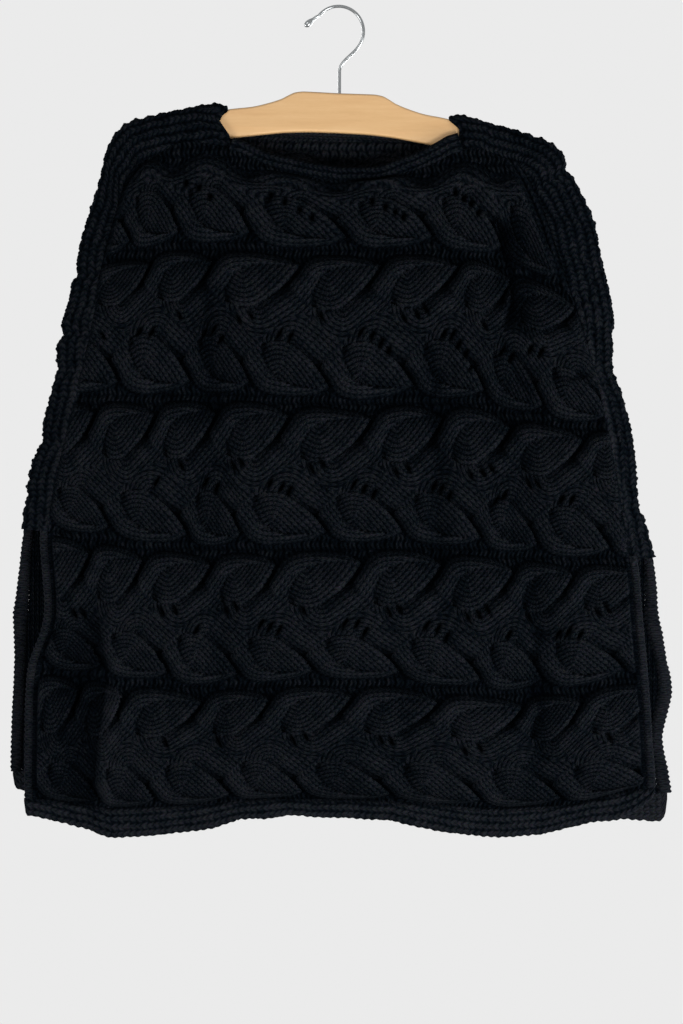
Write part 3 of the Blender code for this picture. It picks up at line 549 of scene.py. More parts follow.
def lay_strands(found, lobes, phase, deep):
    """The strands. Where two could lie, the one whose edge is nearer holds."""
    for lobe in lobes:
        q = (phase - lobe) * PERIOD
        near = (q > STRAND_SPAN[0] * PERIOD) & (q < STRAND_SPAN[1] * PERIOD)
        if not near.any():
            continue
        x, y = q[near], deep[near]
        # the strand to the left of this leaf, which sweeps round the pocket of the leaf before it
        crease, place, side, ax, ay, full = from_line(x + PERIOD, y, CREASE_FROM_STRAND)
        round_end = place > full - 1e-6
        turn = np.where(round_end, np.arctan2(y - CREASE[-1][1], x + PERIOD - CREASE[-1][0]), 0.0)
        crease_far = np.where((side < 0) | round_end, crease, PAST_CREASE)
        outer, outer_place, *_ = from_line(x, y, OUTER_FROM_STRAND)
        by_rim = outer < crease_far
        line = np.maximum(soft_min(crease_far, outer, ROUNDING), 0)
        along = place + np.where(round_end, turn * TURN_LONG, 0)
        floor = CREASE_FLOOR + (CREASE_END - CREASE_FLOOR) * soft_step(place, *CREASE_RISES)
        push = (UNDERCUT * np.clip(1 - crease_far / UNDERCUT_WIDTH, 0, 1)
                * (1 - soft_step(place, *UNDERCUT_ENDS)))
        better = line < found["line"][near]
        for name, value in (
            ("line", line),
            ("along", np.where(by_rim, -outer_place, along)),
            ("floor", np.where(by_rim, CHANNEL_HEIGHT + CHANNEL_BANK, floor)),
            ("rim_side", by_rim + 0.0),
            ("push_x", -ax * push),
            ("push_y", -ay * push),
        ):
            found[name][near] = np.where(better, value, found[name][near])


def lay_leaves(found, lobes, phase, deep):
    """The leaves, which lie over the strands."""
    (left, right), (high, low) = LEAF_BOX
    for lobe in lobes:
        q = (phase - lobe) * PERIOD
        near = (q > left) & (q < right) & (deep > high) & (deep < low)
        near[near] = within(q[near], deep[near], LEAF_OUTLINE)
        if not near.any():
            continue
        x, y = q[near], deep[near]
        crease, place, *_ = from_line(x, y, CREASE_FROM_LEAF)
        foot, foot_place, *_ = from_line(x, y, FOOT_FROM_LEAF)
        # a rounded minimum is too low halfway between the two edges, and is lifted back there
        edge = soft_min(crease, foot, LEAF_ROUNDING)
        edge += math.log(2) / LEAF_ROUNDING * np.exp(-np.abs(crease - foot) / BETWEEN_WIDTH)
        rim_c, _, _, cx, cy, _ = from_line(x, y, CREASE_LINE)
        rim_f, _, _, fx, fy, _ = from_line(x, y, FOOT_LINE)
        rim = np.minimum(rim_c, rim_f)
        ax, ay = np.where(rim_c < rim_f, cx, fx), np.where(rim_c < rim_f, cy, fy)
        deep_rim = 1 - soft_step(y, *OVERHANG_ENDS)
        push = (OVERHANG * deep_rim * np.clip(1 - rim / OVERHANG_WIDTH, 0, 1)
                + np.where(rim < 1.0, rim, 0))
        pocket = (bell(x - LEAF_END[0], LEAF_END_SIZE[0])
                  * bell(y - LEAF_END[1], LEAF_END_SIZE[1]))
        for name, value in (
            ("line", edge),
            ("along", np.where(crease < foot, place, full_length(CREASE_FROM_LEAF) + foot_place)),
            ("leaf", 1.0),
            ("edge", rim),
            ("back", from_line(x, y, BACK_LINE)[0]),
            ("push_x", -ax * push),
            ("push_y", -ay * push),
            ("pocket", pocket),
        ):
            found[name][near] = value


def full_length(line):
    return float(np.linalg.norm(np.diff(line, axis=0), axis=1).sum())


def phase_at(x, tips):
    """Whole numbers at the tips, and evenly between them."""
    steps = np.arange(len(tips)) - 1.0
    ends = (2 * tips[0] - tips[1], *tips, 2 * tips[-1] - tips[-2])
    return np.interp(x, ends, np.concatenate([[steps[0] - 1], steps, [steps[-1] + 1]]))


def stretch_at(x, tips):
    """Millimetres of the panel for one of the pattern."""
    middles = [0.5 * (a + b) for a, b in zip(tips[:-1], tips[1:])]
    return np.interp(x, middles, np.diff(tips)) / PERIOD


def one_cable(number, x, deep, up):
    """Fields of a cable of the table; up is 1 for an upper cable and -1 for a lower one."""
    tips = FRONT_CABLES[number][1]
    phase = phase_at(x, tips)
    return dict(cable_fields(phase, deep), deep=deep, phase=phase, scale=stretch_at(x, tips),
                up=np.full(x.shape, up))


def cables(band, t, x, above):
    """Fields of a band's cables; t runs from 0 at the channel over it to 2 at the one below."""
    deep = (2 - t - CHANNEL_SHARE) / (1 - CHANNEL_SHARE) * CABLE_HEIGHT
    if band == 0:
        return one_cable(0, x, np.where(t < 1, CABLE_HEIGHT + above, deep), -1.0)
    low = one_cable(2 * band, x, deep, -1.0)
    deep = (t - CHANNEL_SHARE) / (1 - CHANNEL_SHARE) * CABLE_HEIGHT
    top = one_cable(2 * band - 1, x, deep, 1.0)
    use_low = (top["leaf"] < 1) & ((low["leaf"] > 0) | (low["line"] < top["line"]))
    return {name: np.where(use_low, low[name], top[name]) for name in low}


def cable_height(fields, wales):
    """Height of the strands and leaves; wales is the distance across their lines."""
    leaf, by_rim = fields["leaf"] > 0, fields["rim_side"] > 0
    strand_top = STRAND_HEIGHT - STRAND_SINK * soft_step(wales, *STRAND_SINKS)
    near_tip = 1 - soft_step(fields["along"], *STRAND_TIP)
    rise = np.where(by_rim, 4.4, 7.4 + 3.4 * near_tip)
    bend = np.where(by_rim, 1.5, 1.6)
    strand = strand_top - (strand_top - fields["floor"]) * np.exp(-((wales / rise) ** bend))
    past_back = 1 - np.exp(-((np.maximum(fields["back"], 0) / 10) ** 1.3))
    leaf_top = (LEAF_BACK_HEIGHT + (LEAF_HEIGHT - LEAF_BACK_HEIGHT) * past_back
                + 1.3 * bell(fields["edge"] - 4, 6) - 2.2 * np.exp(-fields["edge"] / 1.6)
                - POCKET_DEPTH * fields["pocket"])
    ridge = np.where(leaf, 0.85, 0.5 + 0.35 * soft_step(fields["deep"], 42, 52))
    height = np.where(leaf, leaf_top, strand) - ridge * wave(wales, WALE)
    return height - STITCH_RISE * wave(fields["along"], STITCH)


def relief(panel, line, x, drop):
    """Height over the plain channel and what the stitches do, for points of a panel."""
    out = {name: np.zeros(x.shape) for name in WORKED}
    yoke_fall = panel.drop(np.ones_like(x), x) - panel.drop(np.zeros_like(x), x)
    cable_fall = panel.drop(np.full_like(x, 2.0), x) - panel.drop(np.ones_like(x), x)
    for band in range(BANDS):
        here = (line >= 2 * band) & ((line < 2 * band + 2) | (band == BANDS - 1))
        if not here.any():
            continue
        t = (line - 2 * band)[here]
        xs, drops = panel.mirror * x[here], drop[here]
        above = (1 - t) * yoke_fall[here] * CABLE_HEIGHT / cable_fall[here]
        fields = cables(band, t, xs, above)
        wales = np.maximum(fields["line"], 0)
        if band == 0:
            leaf = fields["leaf"] > 0
            to_far = (CABLE_HEIGHT + ROPE_EXTRA + ROPE_SWING * wave(fields["phase"] - ROPE_SHIFT)
                      - fields["deep"])
            fields["along"] = np.where(~leaf & (to_far < wales), xs, fields["along"])
            either = soft_min(wales, np.maximum(to_far, 0), ROPE_ROUNDING)
            wales = np.maximum(np.where(leaf, wales, either), 0)
        height = cable_height(fields, wales)
        outer = np.interp(np.mod(fields["phase"], 1.0) * PERIOD - PERIOD,
                          OUTER_LINE[:, 0], OUTER_LINE[:, 1])
        shown = soft_step(fields["deep"] - outer, -2.0, 0.6)
        if band == 0:
            by_far = np.exp(-((np.maximum(to_far, 0) / 4.5) ** 1.4))
            height = height - (height - CHANNEL_HEIGHT) * by_far
            shown = shown * soft_step(to_far, -1.0, 1.0)
        swing = np.arcsin(0.9 * np.sin(2 * math.pi * drops / DASH_SWING))
        dash = xs / DASH_APART + 0.2 * swing
        dash_line = wave(dash)
        purl = (-1.25 * dash_line - 0.35 * wave(drops / DASH_LONG + 0.5 * np.floor(dash))
                + CHANNEL_HEIGHT * (1 if band else soft_step(line[here], 0.6, 1.0)))
        out["height"][here] = height * shown + (1 - shown) * purl
        out["u"][here] = np.where(shown > 0.5, wales / WALE, dash / 2)
        out["v"][here] = np.where(shown > 0.5, fields["along"] / STITCH, drops / DASH_LONG)
        # painted light and shade in the channels: lighter as a whole, darker in the groove beside
        # each dash
        out["tone_and_painted_light"][here] = (2.1 - 3.4 * dash_line) * (1 - shown)
        out["purl"][here] = 1 - shown
        out["shift_x"][here] = panel.mirror * fields["push_x"] * fields["scale"] * shown
        out["shift_drop"][here] = fields["up"] * fields["push_y"] * shown
    return out


def eyelets(x, drop):
    """How deep the small holes go at points of the front."""
    depth = np.zeros(x.shape)
    for at_x, at_drop in FRONT_EYELETS_ROUND:
        depth += (EYELET_DEPTH * bell(x - at_x, ROUND_EYELET[0])
                  * bell(drop - at_drop, ROUND_EYELET[1]))
    over, down = EYELET_LEAN
    for places, slant in ((FRONT_EYELETS_DOWN, 1.0), (FRONT_EYELETS_UP, -1.0)):
        for at_x, at_drop in places:
            near = (np.abs(x - at_x) < EYELET_REACH) & (np.abs(drop - at_drop) < EYELET_REACH)
            dx, dy = x[near] - at_x, drop[near] - at_drop
            along = over * slant * dx + down * dy
            across = down * dx - over * slant * dy
            depth[near] += EYELET_DEPTH * np.exp(
                -((along / EYELET_LENGTH) ** 2) - (across / EYELET_WIDTH) ** 2)
    return depth


# ---- meshes ---------------------------------------------------------------------------------
def boundary(rows, columns):
    """Indices round the rim of a grid, in order."""
    top = [(0, c) for c in range(columns)]
    right = [(r, columns - 1) for r in range(1, rows)]
    bottom = [(rows - 1, c) for c in range(columns - 2, -1, -1)]
    left = [(r, 0) for r in range(rows - 2, 0, -1)]
    return np.array(top + right + bottom + left)


def quads_of(rows, columns, start=0, around=False):
    """Quads of a grid of points; around joins the last column to the first."""
    r = np.arange(rows - 1)[:, None]
    c = np.arange(columns if around else columns - 1)[None, :]
    d = (c + 1) % columns
    a = start + r * columns
    return np.stack([a + c, a + d, a + columns + d, a + columns + c], axis=-1).reshape(-1, 4)


def turned_outwards(points, quads, triangles):
    """The same faces, turned round if they enclose less than nothing."""
    corners = np.concatenate([quads[:, [0, 1, 2]], quads[:, [0, 2, 3]], triangles])
    a, b, c = points[corners[:, 0]], points[corners[:, 1]], points[corners[:, 2]]
    if np.einsum("ij,ij->i", a, np.cross(b, c)).sum() < 0:
        return quads[:, ::-1], triangles[:, ::-1]
    return quads, triangles


def rim_quads(outer, inner):
    """Quads that join two closed rims of as many points."""
    return np.stack([np.roll(outer, -1), outer, inner, np.roll(inner, -1)], axis=1)


def knitted(name, points, quads, triangles, u, v, height, finish):
    """A closed knitted piece; u counts lines of stitches, v the stitches along them, and height
    gives its painted light and shade.
    """
    quads, triangles = turned_outwards(points, quads, triangles)
    corners = np.concatenate([quads.ravel(), triangles.ravel()]).astype(np.int32)
    starts = np.concatenate([np.arange(len(quads)) * 4,
                             len(quads) * 4 + np.arange(len(triangles)) * 3]).astype(np.int32)
    mesh = bpy.data.meshes.new(name)
    mesh.vertices.add(len(points))
    mesh.vertices.foreach_set("co", (points * MM).astype(np.float32).ravel())
    mesh.loops.add(len(corners))
    mesh.loops.foreach_set("vertex_index", corners)
    mesh.polygons.add(len(starts))
    mesh.polygons.foreach_set("loop_start", starts)
    mesh.update(calc_edges=True)
    place = np.stack([u, v], axis=-1)
    of_quads = place[quads]
    jump_across, jump_along = np.ptp(of_quads, axis=1).T
    torn = (jump_across > TORN_ACROSS) | (jump_along > TORN_ALONG)
    of_quads[torn] = of_quads[torn][:, :1]
    layer = mesh.uv_layers.new(name="Knit")
    layer.data.foreach_set(
        "uv", np.concatenate([of_quads.reshape(-1, 2), place[triangles].reshape(-1, 2)])
        .astype(np.float32).ravel())
    # painted light and shade that the wool reads, from the values given for each point
    raised = mesh.attributes.new("Painted_light_and_shade", "FLOAT", "POINT")
    light = np.clip((height - RAISED_FROM) / RAISED_SPAN, 0, RAISED_MOST)
    raised.data.foreach_set("value", light.astype(np.float32))
    mesh.shade_smooth()
    mesh.set_sharp_from_angle(angle=KNIT_SMOOTH)
    mesh.materials.append(finish)
    made = bpy.data.objects.new(name, mesh)
    bpy.context.scene.collection.objects.link(made)
    return made


def wall(name, outer, inner, u, v, height, finish, sparse=SPARSE):
    """A wall between a fine outer grid and a plain inside that keeps few points within its rim."""
    rows, columns = outer.shape[:2]
    rim = boundary(rows, columns)
    inner_rows = np.arange(sparse, rows - sparse + 1, sparse)
    inner_columns = np.arange(sparse, columns - sparse + 1, sparse)
    kept = np.array([(r, c) for r in inner_rows for c in inner_columns]).reshape(-1, 2)
    chosen = np.concatenate([rim, kept]).astype(int)
    flat = [Vector((c * 10.0, r * 10.0)) for r, c in chosen]
    hoop = [(i, (i + 1) % len(rim)) for i in range(len(rim))]
    _, _, triangles, sources, _, _ = delaunay_2d_cdt(flat, hoop, [], 1, 1e-6)
    start = rows * columns
    triangles = np.array([[start + sources[i][0] for i in t] for t in triangles])[:, ::-1]
    sides = rim_quads(rim[:, 0] * columns + rim[:, 1], start + np.arange(len(rim)))
    quads = np.concatenate([quads_of(rows, columns), sides])
    inside = inner[chosen[:, 0], chosen[:, 1]]
    points = np.concatenate([outer.reshape(-1, 3), inside])
    u = np.concatenate([u.ravel(), inside[:, 0] / INSIDE_WALE])
    v = np.concatenate([v.ravel(), -inside[:, 2] / INSIDE_STITCH])
    # the plain inside is painted with one even value of light
    height = np.concatenate([height.ravel(), np.full(len(inside), INSIDE_PAINTED_LIGHT)])
    return knitted(name, points, quads, triangles, u, v, height, finish)


def double_wall(name, outer, inner, u, v, height, finish):
    """A wall between two grids of the same size, both worked."""
    rows, columns = outer.shape[:2]
    rim = boundary(rows, columns)
    count = rows * columns
    place = rim[:, 0] * columns + rim[:, 1]
    quads = np.concatenate([quads_of(rows, columns), quads_of(rows, columns, count)[:, ::-1],
                            rim_quads(place, place + count)])
    points = np.concatenate([outer.reshape(-1, 3), inner.reshape(-1, 3)])
    # the inner face is painted lighter than the outer one
    height = np.concatenate([height.ravel(), height.ravel() + INSIDE_PAINTED_LIGHTER])
    return knitted(name, points, quads, np.zeros((0, 3), int), np.tile(u.ravel(), 2),
                   np.tile(v.ravel(), 2), height, finish)


def outward_of(points):
    """Unit vectors across a grid's surface."""
    along = np.gradient(points, axis=0)
    over = np.gradient(points, axis=1)
    normal = np.cross(along, over)
    return normal / (np.linalg.norm(normal, axis=-1, keepdims=True) + 1e-12)


def stands_for(piece, node):
    """What the piece is for the frame."""
    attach(piece, "root")
    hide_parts(node)


def declare(piece, node):
    """The same for a sheet of wool that hangs."""
    stands_for(piece, node)


# ---- the panels -----------------------------------------------------------------------------
def creases(x, drop):
    """How deep the sharp creases go at points of the front."""
    depth = np.zeros(x.shape)
    for points, to_left, to_right, inward in FRONT_CREASES:
        path = smooth_line(points)
        reach = 2.2 * max(to_left, to_right) + 3
        near = ((x > path[:, 0].min() - reach) & (x < path[:, 0].max() + reach)
                & (drop > path[0, 1] - reach) & (drop < path[:, 1].max() + reach))
        if not near.any():
            continue
        far, along, side, _, _, full = from_line(x[near], drop[near], path)
        ends = soft_step(along, 0, 0.18 * full) * (1 - soft_step(along, 0.82 * full, full))
        wide = np.where(side < 0, to_right, to_left)
        depth[near] += inward * ends * np.exp(-((far / wide) ** 1.6))
    return depth


def edge_rise(line):
    """How far the knit stands over its plain wall at the side seams."""
    (rises, full), (falls, gone) = SEAM_RISE_LINES
    return SEAM_RISE * soft_step(line, rises, full) * (1 - soft_step(line, falls, gone))


def edge_strips(line, x, drop, from_side):
    """Ribs along a panel's sides, by the shoulders and by the vents.

    Each strip has its share of a point, its height, and its stitches across and along.
    """
    across = (from_side + 0.9 * ripple(drop, from_side, 4)) / RIDGE_APART
    margin = np.where(x > 0, RIGHT_STRIP, LEFT_STRIP) * (1 - soft_step(line, *STRIP_LINES))
    by_shoulder = 1 - soft_step(from_side, margin - 1.5, margin + 1.5)
    ribbed = 2.0 + 1.4 * garter(across + 0.5) * (0.7 + 0.3 * wave(drop, BAND_STITCH))
    by_vent = (soft_step(line, VENT_LINE - 0.02, VENT_LINE + 0.02)
               * (1 - soft_step(from_side, *VENT_STRIP)))
    return ((by_shoulder, ribbed, across, drop / BAND_STITCH),
            (by_vent, 1.2 + 0.5 * wave(drop, EDGE_STITCH), drop / EDGE_STITCH,
             from_side / BAND_STITCH))


def panel_piece(name, panel, first, last, step, finish, node, worked_inside=False):
    """A sheet of a panel between two of its lines."""
    lines = [float(first)]
    for line in range(first, last):
        fall = np.diff(panel.drops[[line, line + 1]], axis=0).mean()
        count = max(int(round(fall / step)), LEAST_ROWS)
        lines += list(line + np.arange(1, count + 1) / count)
    share = np.linspace(-1, 1, int(PANEL_ACROSS / step))
    line = np.broadcast_to(np.array(lines)[:, None], (len(lines), len(share)))
    left, right = panel.edges(line)
    x = left + (share[None, :] + 1) / 2 * (right - left)
    drop = panel.drop(line, x)
    y = panel.inside(line, x, drop)
    plain = np.stack([x, y, -drop], axis=-1)
    worked = relief(panel, line, x + 1.1 * ripple(x, drop, 3), drop)
    from_side = np.minimum(x - left, right - x)
    height = worked["height"] * (1 + 0.07 * ripple(x, drop, 5)) + 0.6 * ripple(x, drop, 8)
    strips = edge_strips(line, x, drop, from_side)
    for strip, ribs, across, along in strips:
        height = height * (1 - strip) + ribs * strip
        worked["u"] = np.where(strip > 0.5, across, worked["u"])
        worked["v"] = np.where(strip > 0.5, along, worked["v"])
    if panel is FRONT:
        height = height - eyelets(x, drop) * (1 - worked["purl"]) - creases(x, drop)
    upper = 1 - soft_step(line, *UPPER_LINES)
    fade = np.maximum(soft_step(from_side, 0.0, 4.0 + 4.0 * upper), strips[1][0])
    height = (np.maximum(height, LOWEST) * fade
              + (edge_rise(line) - 0.2 - 0.8 * upper) * (1 - fade))
    outer = np.stack([x + worked["shift_x"] * fade, y + panel.outward * (WALL + height),
                      -(drop + worked["shift_drop"] * fade)], axis=-1)
    # painted light and shade: lighter on high knit, darker in creases, eyelets and channels, and
    # painted darker in the soft folds
    tone_and_painted_light = height + (worked["tone_and_painted_light"] - FOLD_PAINTED_SHADE * panel.fold(x, drop))
    if worked_inside:
        inner = plain.copy()
        inner[..., 1] -= panel.outward * (1.1 * wave(drop, YOKE_INSIDE_LINE) - 1.1) * fade
        piece = double_wall(name, outer, inner, worked["u"], worked["v"], tone_and_painted_light, finish)
    else:
        piece = wall(name, outer, plain, worked["u"], worked["v"], tone_and_painted_light, finish)
    declare(piece, node)


# ---- bands, hems and borders ----------------------------------------------------------------
def edge_points(panel, place, side, over):
    """Points of a panel's edge, from the neck's end (-1) over the shoulder (0) down the side."""
    place = np.asarray(place, float)
    line = np.clip(place, 0, None)
    left, right = panel.edges(line)
    x, neck_end = (left, NECK_LEFT_X) if side == "left" else (right, NECK_RIGHT_X)
    x = np.where(place < 0, x + (neck_end - x) * -place, x)
    drop = panel.drop(line, x)
    y = panel.inside(line, x, drop) + panel.outward * over
    return np.stack([x, y, -drop], axis=-1)


def band_section(near, far, edge, thick):
    """Rings from the front seam round the edge to the back seam, evenly spaced."""
    middle, half = 0.5 * (near + far), 0.5 * (far - near)
    straight = half * [0.0, 1.0, 0.0]
    reach = edge - middle
    length = np.linalg.norm(reach, axis=1, keepdims=True)
    middle = middle - reach / length * SEAM_LAP
    reach = reach * (length - thick + SEAM_LAP) / length
    turn = np.linspace(-math.pi / 2, math.pi / 2, SECTION_POINTS)
    out = np.maximum(np.cos(turn), 0.0) ** (2 / BAND_SQUARENESS)
    over = np.sign(turn) * np.abs(np.sin(turn)) ** (2 / BAND_SQUARENESS)
    out, over = out[None, :, None], over[None, :, None]
    ring = (middle[:, None] + reach[:, None] * out
            + (half[:, None] + (straight - half)[:, None] * out) * over)
    run = np.concatenate([np.zeros((len(ring), 1)),
                          np.cumsum(np.linalg.norm(np.diff(ring, axis=1), axis=2), axis=1)], axis=1)
    even = np.empty((len(ring), BAND_AROUND + 1, 3))
    share = np.empty((len(ring), BAND_AROUND + 1))
    for i in range(len(ring)):
        at = np.linspace(0, run[i, -1], BAND_AROUND + 1)
        for axis in range(3):
            even[i, :, axis] = np.interp(at, run[i], ring[i, :, axis])
        share[i] = np.interp(at, run[i], out[0, :, 0])
    return even, share, run[:, -1]


def band_path(side, outline, notches):
    """Even places along a side band, the way run to each, and its outer edge there."""
    knots = [row[0] for row in outline]
    fine = np.linspace(-1, VENT_LINE, OUTLINE_POINTS)
    path_x = through_points(knots, [row[1] for row in outline], fine)
    path_drop = through_points(knots, [row[2] for row in outline], fine)
    run = np.concatenate([[0], np.cumsum(np.hypot(np.diff(path_x), np.diff(path_drop)))])
    along = np.linspace(0, run[-1], int(run[-1] / BAND_STEP) + 1)
    place = np.interp(along, run, fine)
    out_x, out_drop = np.interp(place, fine, path_x), np.interp(place, fine, path_drop)
    inwards = 1.0 if side == "left" else -1.0
    for at, deep in notches:
        out_x = out_x + inwards * deep * bell(out_drop - at, NOTCH_LONG)
    return place, along, np.stack([out_x, np.zeros_like(out_x), -out_drop], axis=1)


def band_knit(place, along, from_seam, from_edge):
    """Count of a side band's ridges across it, and how far its knit stands out."""
    middle, low = soft_step(place, *BAND_MIDDLE), soft_step(place, *BAND_LOW)
    high, middle = 1 - middle, middle * (1 - low)
    wander = (1.3 * ripple(along, from_edge, 4)
              + 0.9 * np.sin(along / 5.3 + from_edge / 9.0) * np.sin(along / 12.7))
    ridge = (from_edge + wander) / RIDGE_APART
    row = np.floor(ridge + 0.5) % 2
    ribs = garter((along + 1.4 * ripple(from_edge * 3, along, 9)) / BAND_STITCH + 0.5 * row)
    blocks = garter((along + 2.2 * ripple(from_edge * 2, along, 7)) / BLOCK_LONG + 0.5 * row)
    patchy = 0.65 + 0.5 * ripple(along * 1.7, from_edge * 2, 1)
    long_ridges = (1.2 * high + 0.7 * middle + 0.2 * low) * garter(ridge) * (0.7 + 0.3 * ribs)
    cross_ridges = 0.8 * low * garter(along / CROSS_RIDGE_APART)
    height = (long_ridges * patchy + 0.3 * ribs + 1.2 * middle * blocks * patchy
              + cross_ridges * patchy)
    height = height + 0.8 * ripple(along, from_edge, 6)
    rise = edge_rise(place) * (1 - soft_step(from_seam, 1.0, 9.0))
    sunk = (0.2 + 0.5 * high) * bell(from_seam, 2.0)
    height = height * soft_step(from_seam, 0, 3) + rise - sunk
    lumps = (garter((along + 3.0 * ripple(along * 0.7, along, 2)) / LUMP_LONG)
             * (0.6 + 0.5 * ripple(along * 1.3, along, 4)))
    return ridge, height + 1.3 * lumps * bell(from_edge, 9.0)


def side_band(side, outline, notches, beak, finish):
    """A garter strip from the neck over the shoulder and down to the vent, round the edge."""
    place, along, edge = band_path(side, outline, notches)
    (outer, share, width), (inner, _, _) = (
        band_section(edge_points(FRONT, place, side, over), edge_points(BACK, place, side, over),
                     edge, thick)
        for over, thick in ((WALL, 0.0), (0.0, EDGE_WALL)))
    plain = outer.copy()
    step = np.linspace(0, 1, BAND_AROUND + 1)[None, :]
    from_seam = np.minimum(step, 1 - step) * width[:, None]
    from_edge = np.abs(step - 0.5) * width[:, None]
    place = np.broadcast_to(place[:, None], from_edge.shape)
    along = np.broadcast_to(along[:, None], from_edge.shape)
    ridge, height = band_knit(place, along, from_seam, from_edge)
    normal = outward_of(outer)
    if (normal * (outer - outer.mean(axis=1, keepdims=True))).sum() < 0:
        normal = -normal
    outer = outer + normal * height[..., None]
    lip = soft_step(-place, 0.88, 1.0)[..., None]
    outer = inner + (outer - inner) * (1 - 0.6 * lip)
    neck_end = soft_step(-place, 0.62, 1.0)
    front_half = 1 - soft_step(np.broadcast_to(step, place.shape), 0.42, 0.56)
    jut = np.interp(share, BEAK_AT, beak) * neck_end * front_half
    for grid in (outer, inner, plain):
        grid[..., 0] += jut
    # painted light and shade follow the band's knit: lighter where it stands out, darker in its
    # grooves
    piece = wall(f"ribbed_side_{side}", outer, inner, ridge + 0.5, along / BAND_STITCH,
                 1.6 * height + 5.5, finish, sparse=SPARSE_BAND)
    declare(piece, f"side_band_{side}")


def neckband(label, panel, neckline, finish):
    """A flat band from the panel's top line up to the neckline."""
    columns = int((NECK_RIGHT_X - NECK_LEFT_X) / BAND_STEP)
    share = np.linspace(0, 1, columns + 1)
    x = NECK_LEFT_X + (NECK_RIGHT_X - NECK_LEFT_X) * share
    line = np.zeros_like(x)
    base_drop = panel.drop(line, x)
    y = panel.inside(line, x, base_drop)
    top = through_points(np.linspace(0, 1, len(neckline)), neckline, share)
    rise = np.linspace(0, 1, NECKBAND_ROWS)[:, None]
    x_grid = x[None, :] * (1 - NECKBAND_TAPER * rise)
    x_grid = x_grid - NECKBAND_LAP * (1 - soft_step(share, 0, 0.03))[None, :]
    x_grid = x_grid + NECKBAND_LAP * soft_step(share, 0.97, 1)[None, :]
    z = -base_drop[None, :] - SEAM_LAP + (base_drop - top + SEAM_LAP)[None, :] * rise
    plain = np.stack([x_grid, np.broadcast_to(y[None, :], z.shape), z], axis=-1)
    run = np.broadcast_to((x - x[0])[None, :], z.shape)
    from_top = (1 - rise) * (z[-1] - z[0])[None, :]
    lines = 0.6 * wave(from_top - 3.2, NECKBAND_LINE) + 0.35 * wave(run, EDGE_STITCH)
    round_top = rounded(from_top, 4.5)
    round_low = np.clip((z - z[:1]) / 2.5, 0, 1)
    outside = (EDGE_WALL + 1.4 + lines) * (0.35 + 0.65 * round_top) * (0.35 + 0.65 * round_low)
    outside = outside + 0.4 * ripple(run, from_top, 2)
    inside_lines = 0.7 * wave(from_top - 2.4, NECKBAND_INSIDE_LINE) - 0.7
    outer, inner = plain.copy(), plain.copy()
    outer[..., 1] += panel.outward * outside
    inner[..., 1] += panel.outward * (1.6 * (1 - round_top) - inside_lines * round_top)
    # painted light and shade follow how far the band stands out
    piece = double_wall(f"{label}_neck_edge", outer, inner, from_top / NECKBAND_LINE,
                        run / EDGE_STITCH, 1.2 * outside - 0.5, finish)
    declare(piece, f"{label}_neckband")


def hem_band(label, panel, finish):
    """A ribbed band from the panel's last line down to the hem, its lower corners rounded."""
    last = float(len(panel.drops) - 1)
    left, right = panel.edges(last)
    left, right = float(left), float(right)
    count = int((right - left + 2 * BORDER_WIDTH) / BAND_STEP)
    x = np.linspace(left - BORDER_WIDTH, right + BORDER_WIDTH, count + 1)
    line = np.full_like(x, last)
    seam_drop = panel.drop(line, np.clip(x, left, right))
    y = panel.inside(line, x, seam_drop)
    low = through_points(STATIONS, panel.hem, np.linspace(-1, 1, count + 1))
    low = low + np.interp(x, *zip(*HEM_UNEVEN[label]))
    left_corner, right_corner = HEM_CORNERS[label]
    for corner, from_end in ((left_corner, x - x[0]), (right_corner, x[-1] - x)):
        low = seam_drop + (low - seam_drop) * (0.22 + 0.78 * rounded(from_end, corner))
    width = (low - seam_drop + SEAM_LAP)[None, :]
    fall = np.linspace(0, 1, HEM_ROWS)[:, None]
    drop = seam_drop[None, :] - SEAM_LAP + width * fall
    x_grid = np.broadcast_to(x[None, :], drop.shape)
    plain = np.stack([x_grid, np.broadcast_to(y[None, :], drop.shape), -drop], axis=-1)
    from_low, from_top = (1 - fall) * width, fall * width
    run = x_grid - x[0]
    row = (from_low + 0.9 * ripple(run, from_low, 5)) / HEM_LINE
    patchy = 0.75 + 0.5 * ripple(run * 1.4, from_low * 2, 3)
    ribs = garter((run + 1.6 * ripple(from_low * 3, run, 2)) / HEM_RIB + 0.5 * (np.floor(row) % 2))
    ridges = garter(row + 0.5) * (0.7 + 0.3 * ribs) * patchy
    ribs = 0.7 * ribs * patchy
    round_low = rounded(from_low, 5.0)
    round_top = np.clip(0.35 + 0.65 * from_top / 4.0, 0, 1)
    round_ends = 0.45 + 0.55 * rounded(np.minimum(run, run[:, -1:] - run), 5.0)
    outside = (EDGE_WALL + 1.2 + ridges + ribs) * (0.3 + 0.7 * round_low) * round_top * round_ends
    outside = outside + 0.5 * ripple(run, from_low, 7)
    outer, inner = plain.copy(), plain.copy()
    outer[..., 1] += panel.outward * np.maximum(outside, 1.0)
    inner[..., 1] += panel.outward * 0.7 * (1 - round_low)
    bump = (0.9 * ribs + 0.8 * ripple(run * 2.1, run, 6)) * fall ** 4
    outer[..., 2] -= bump
    inner[..., 2] -= bump
    # painted light and shade follow how far the hem stands out
    tone_and_painted_light = 1.4 * outside + 2.0
    if label == "front":
        # a painted highlight where the light catches the rim of the rounded corner on the right
        tone_and_painted_light = tone_and_painted_light + 11.0 * (1 - soft_step(from_low, 1.0, 2.8)) * soft_step(x_grid, 240, 280)
    piece = double_wall(f"{label}_hem_edge", outer, inner, row, run / BAND_STITCH, tone_and_painted_light, finish)
    declare(piece, f"{label}_hem_band")


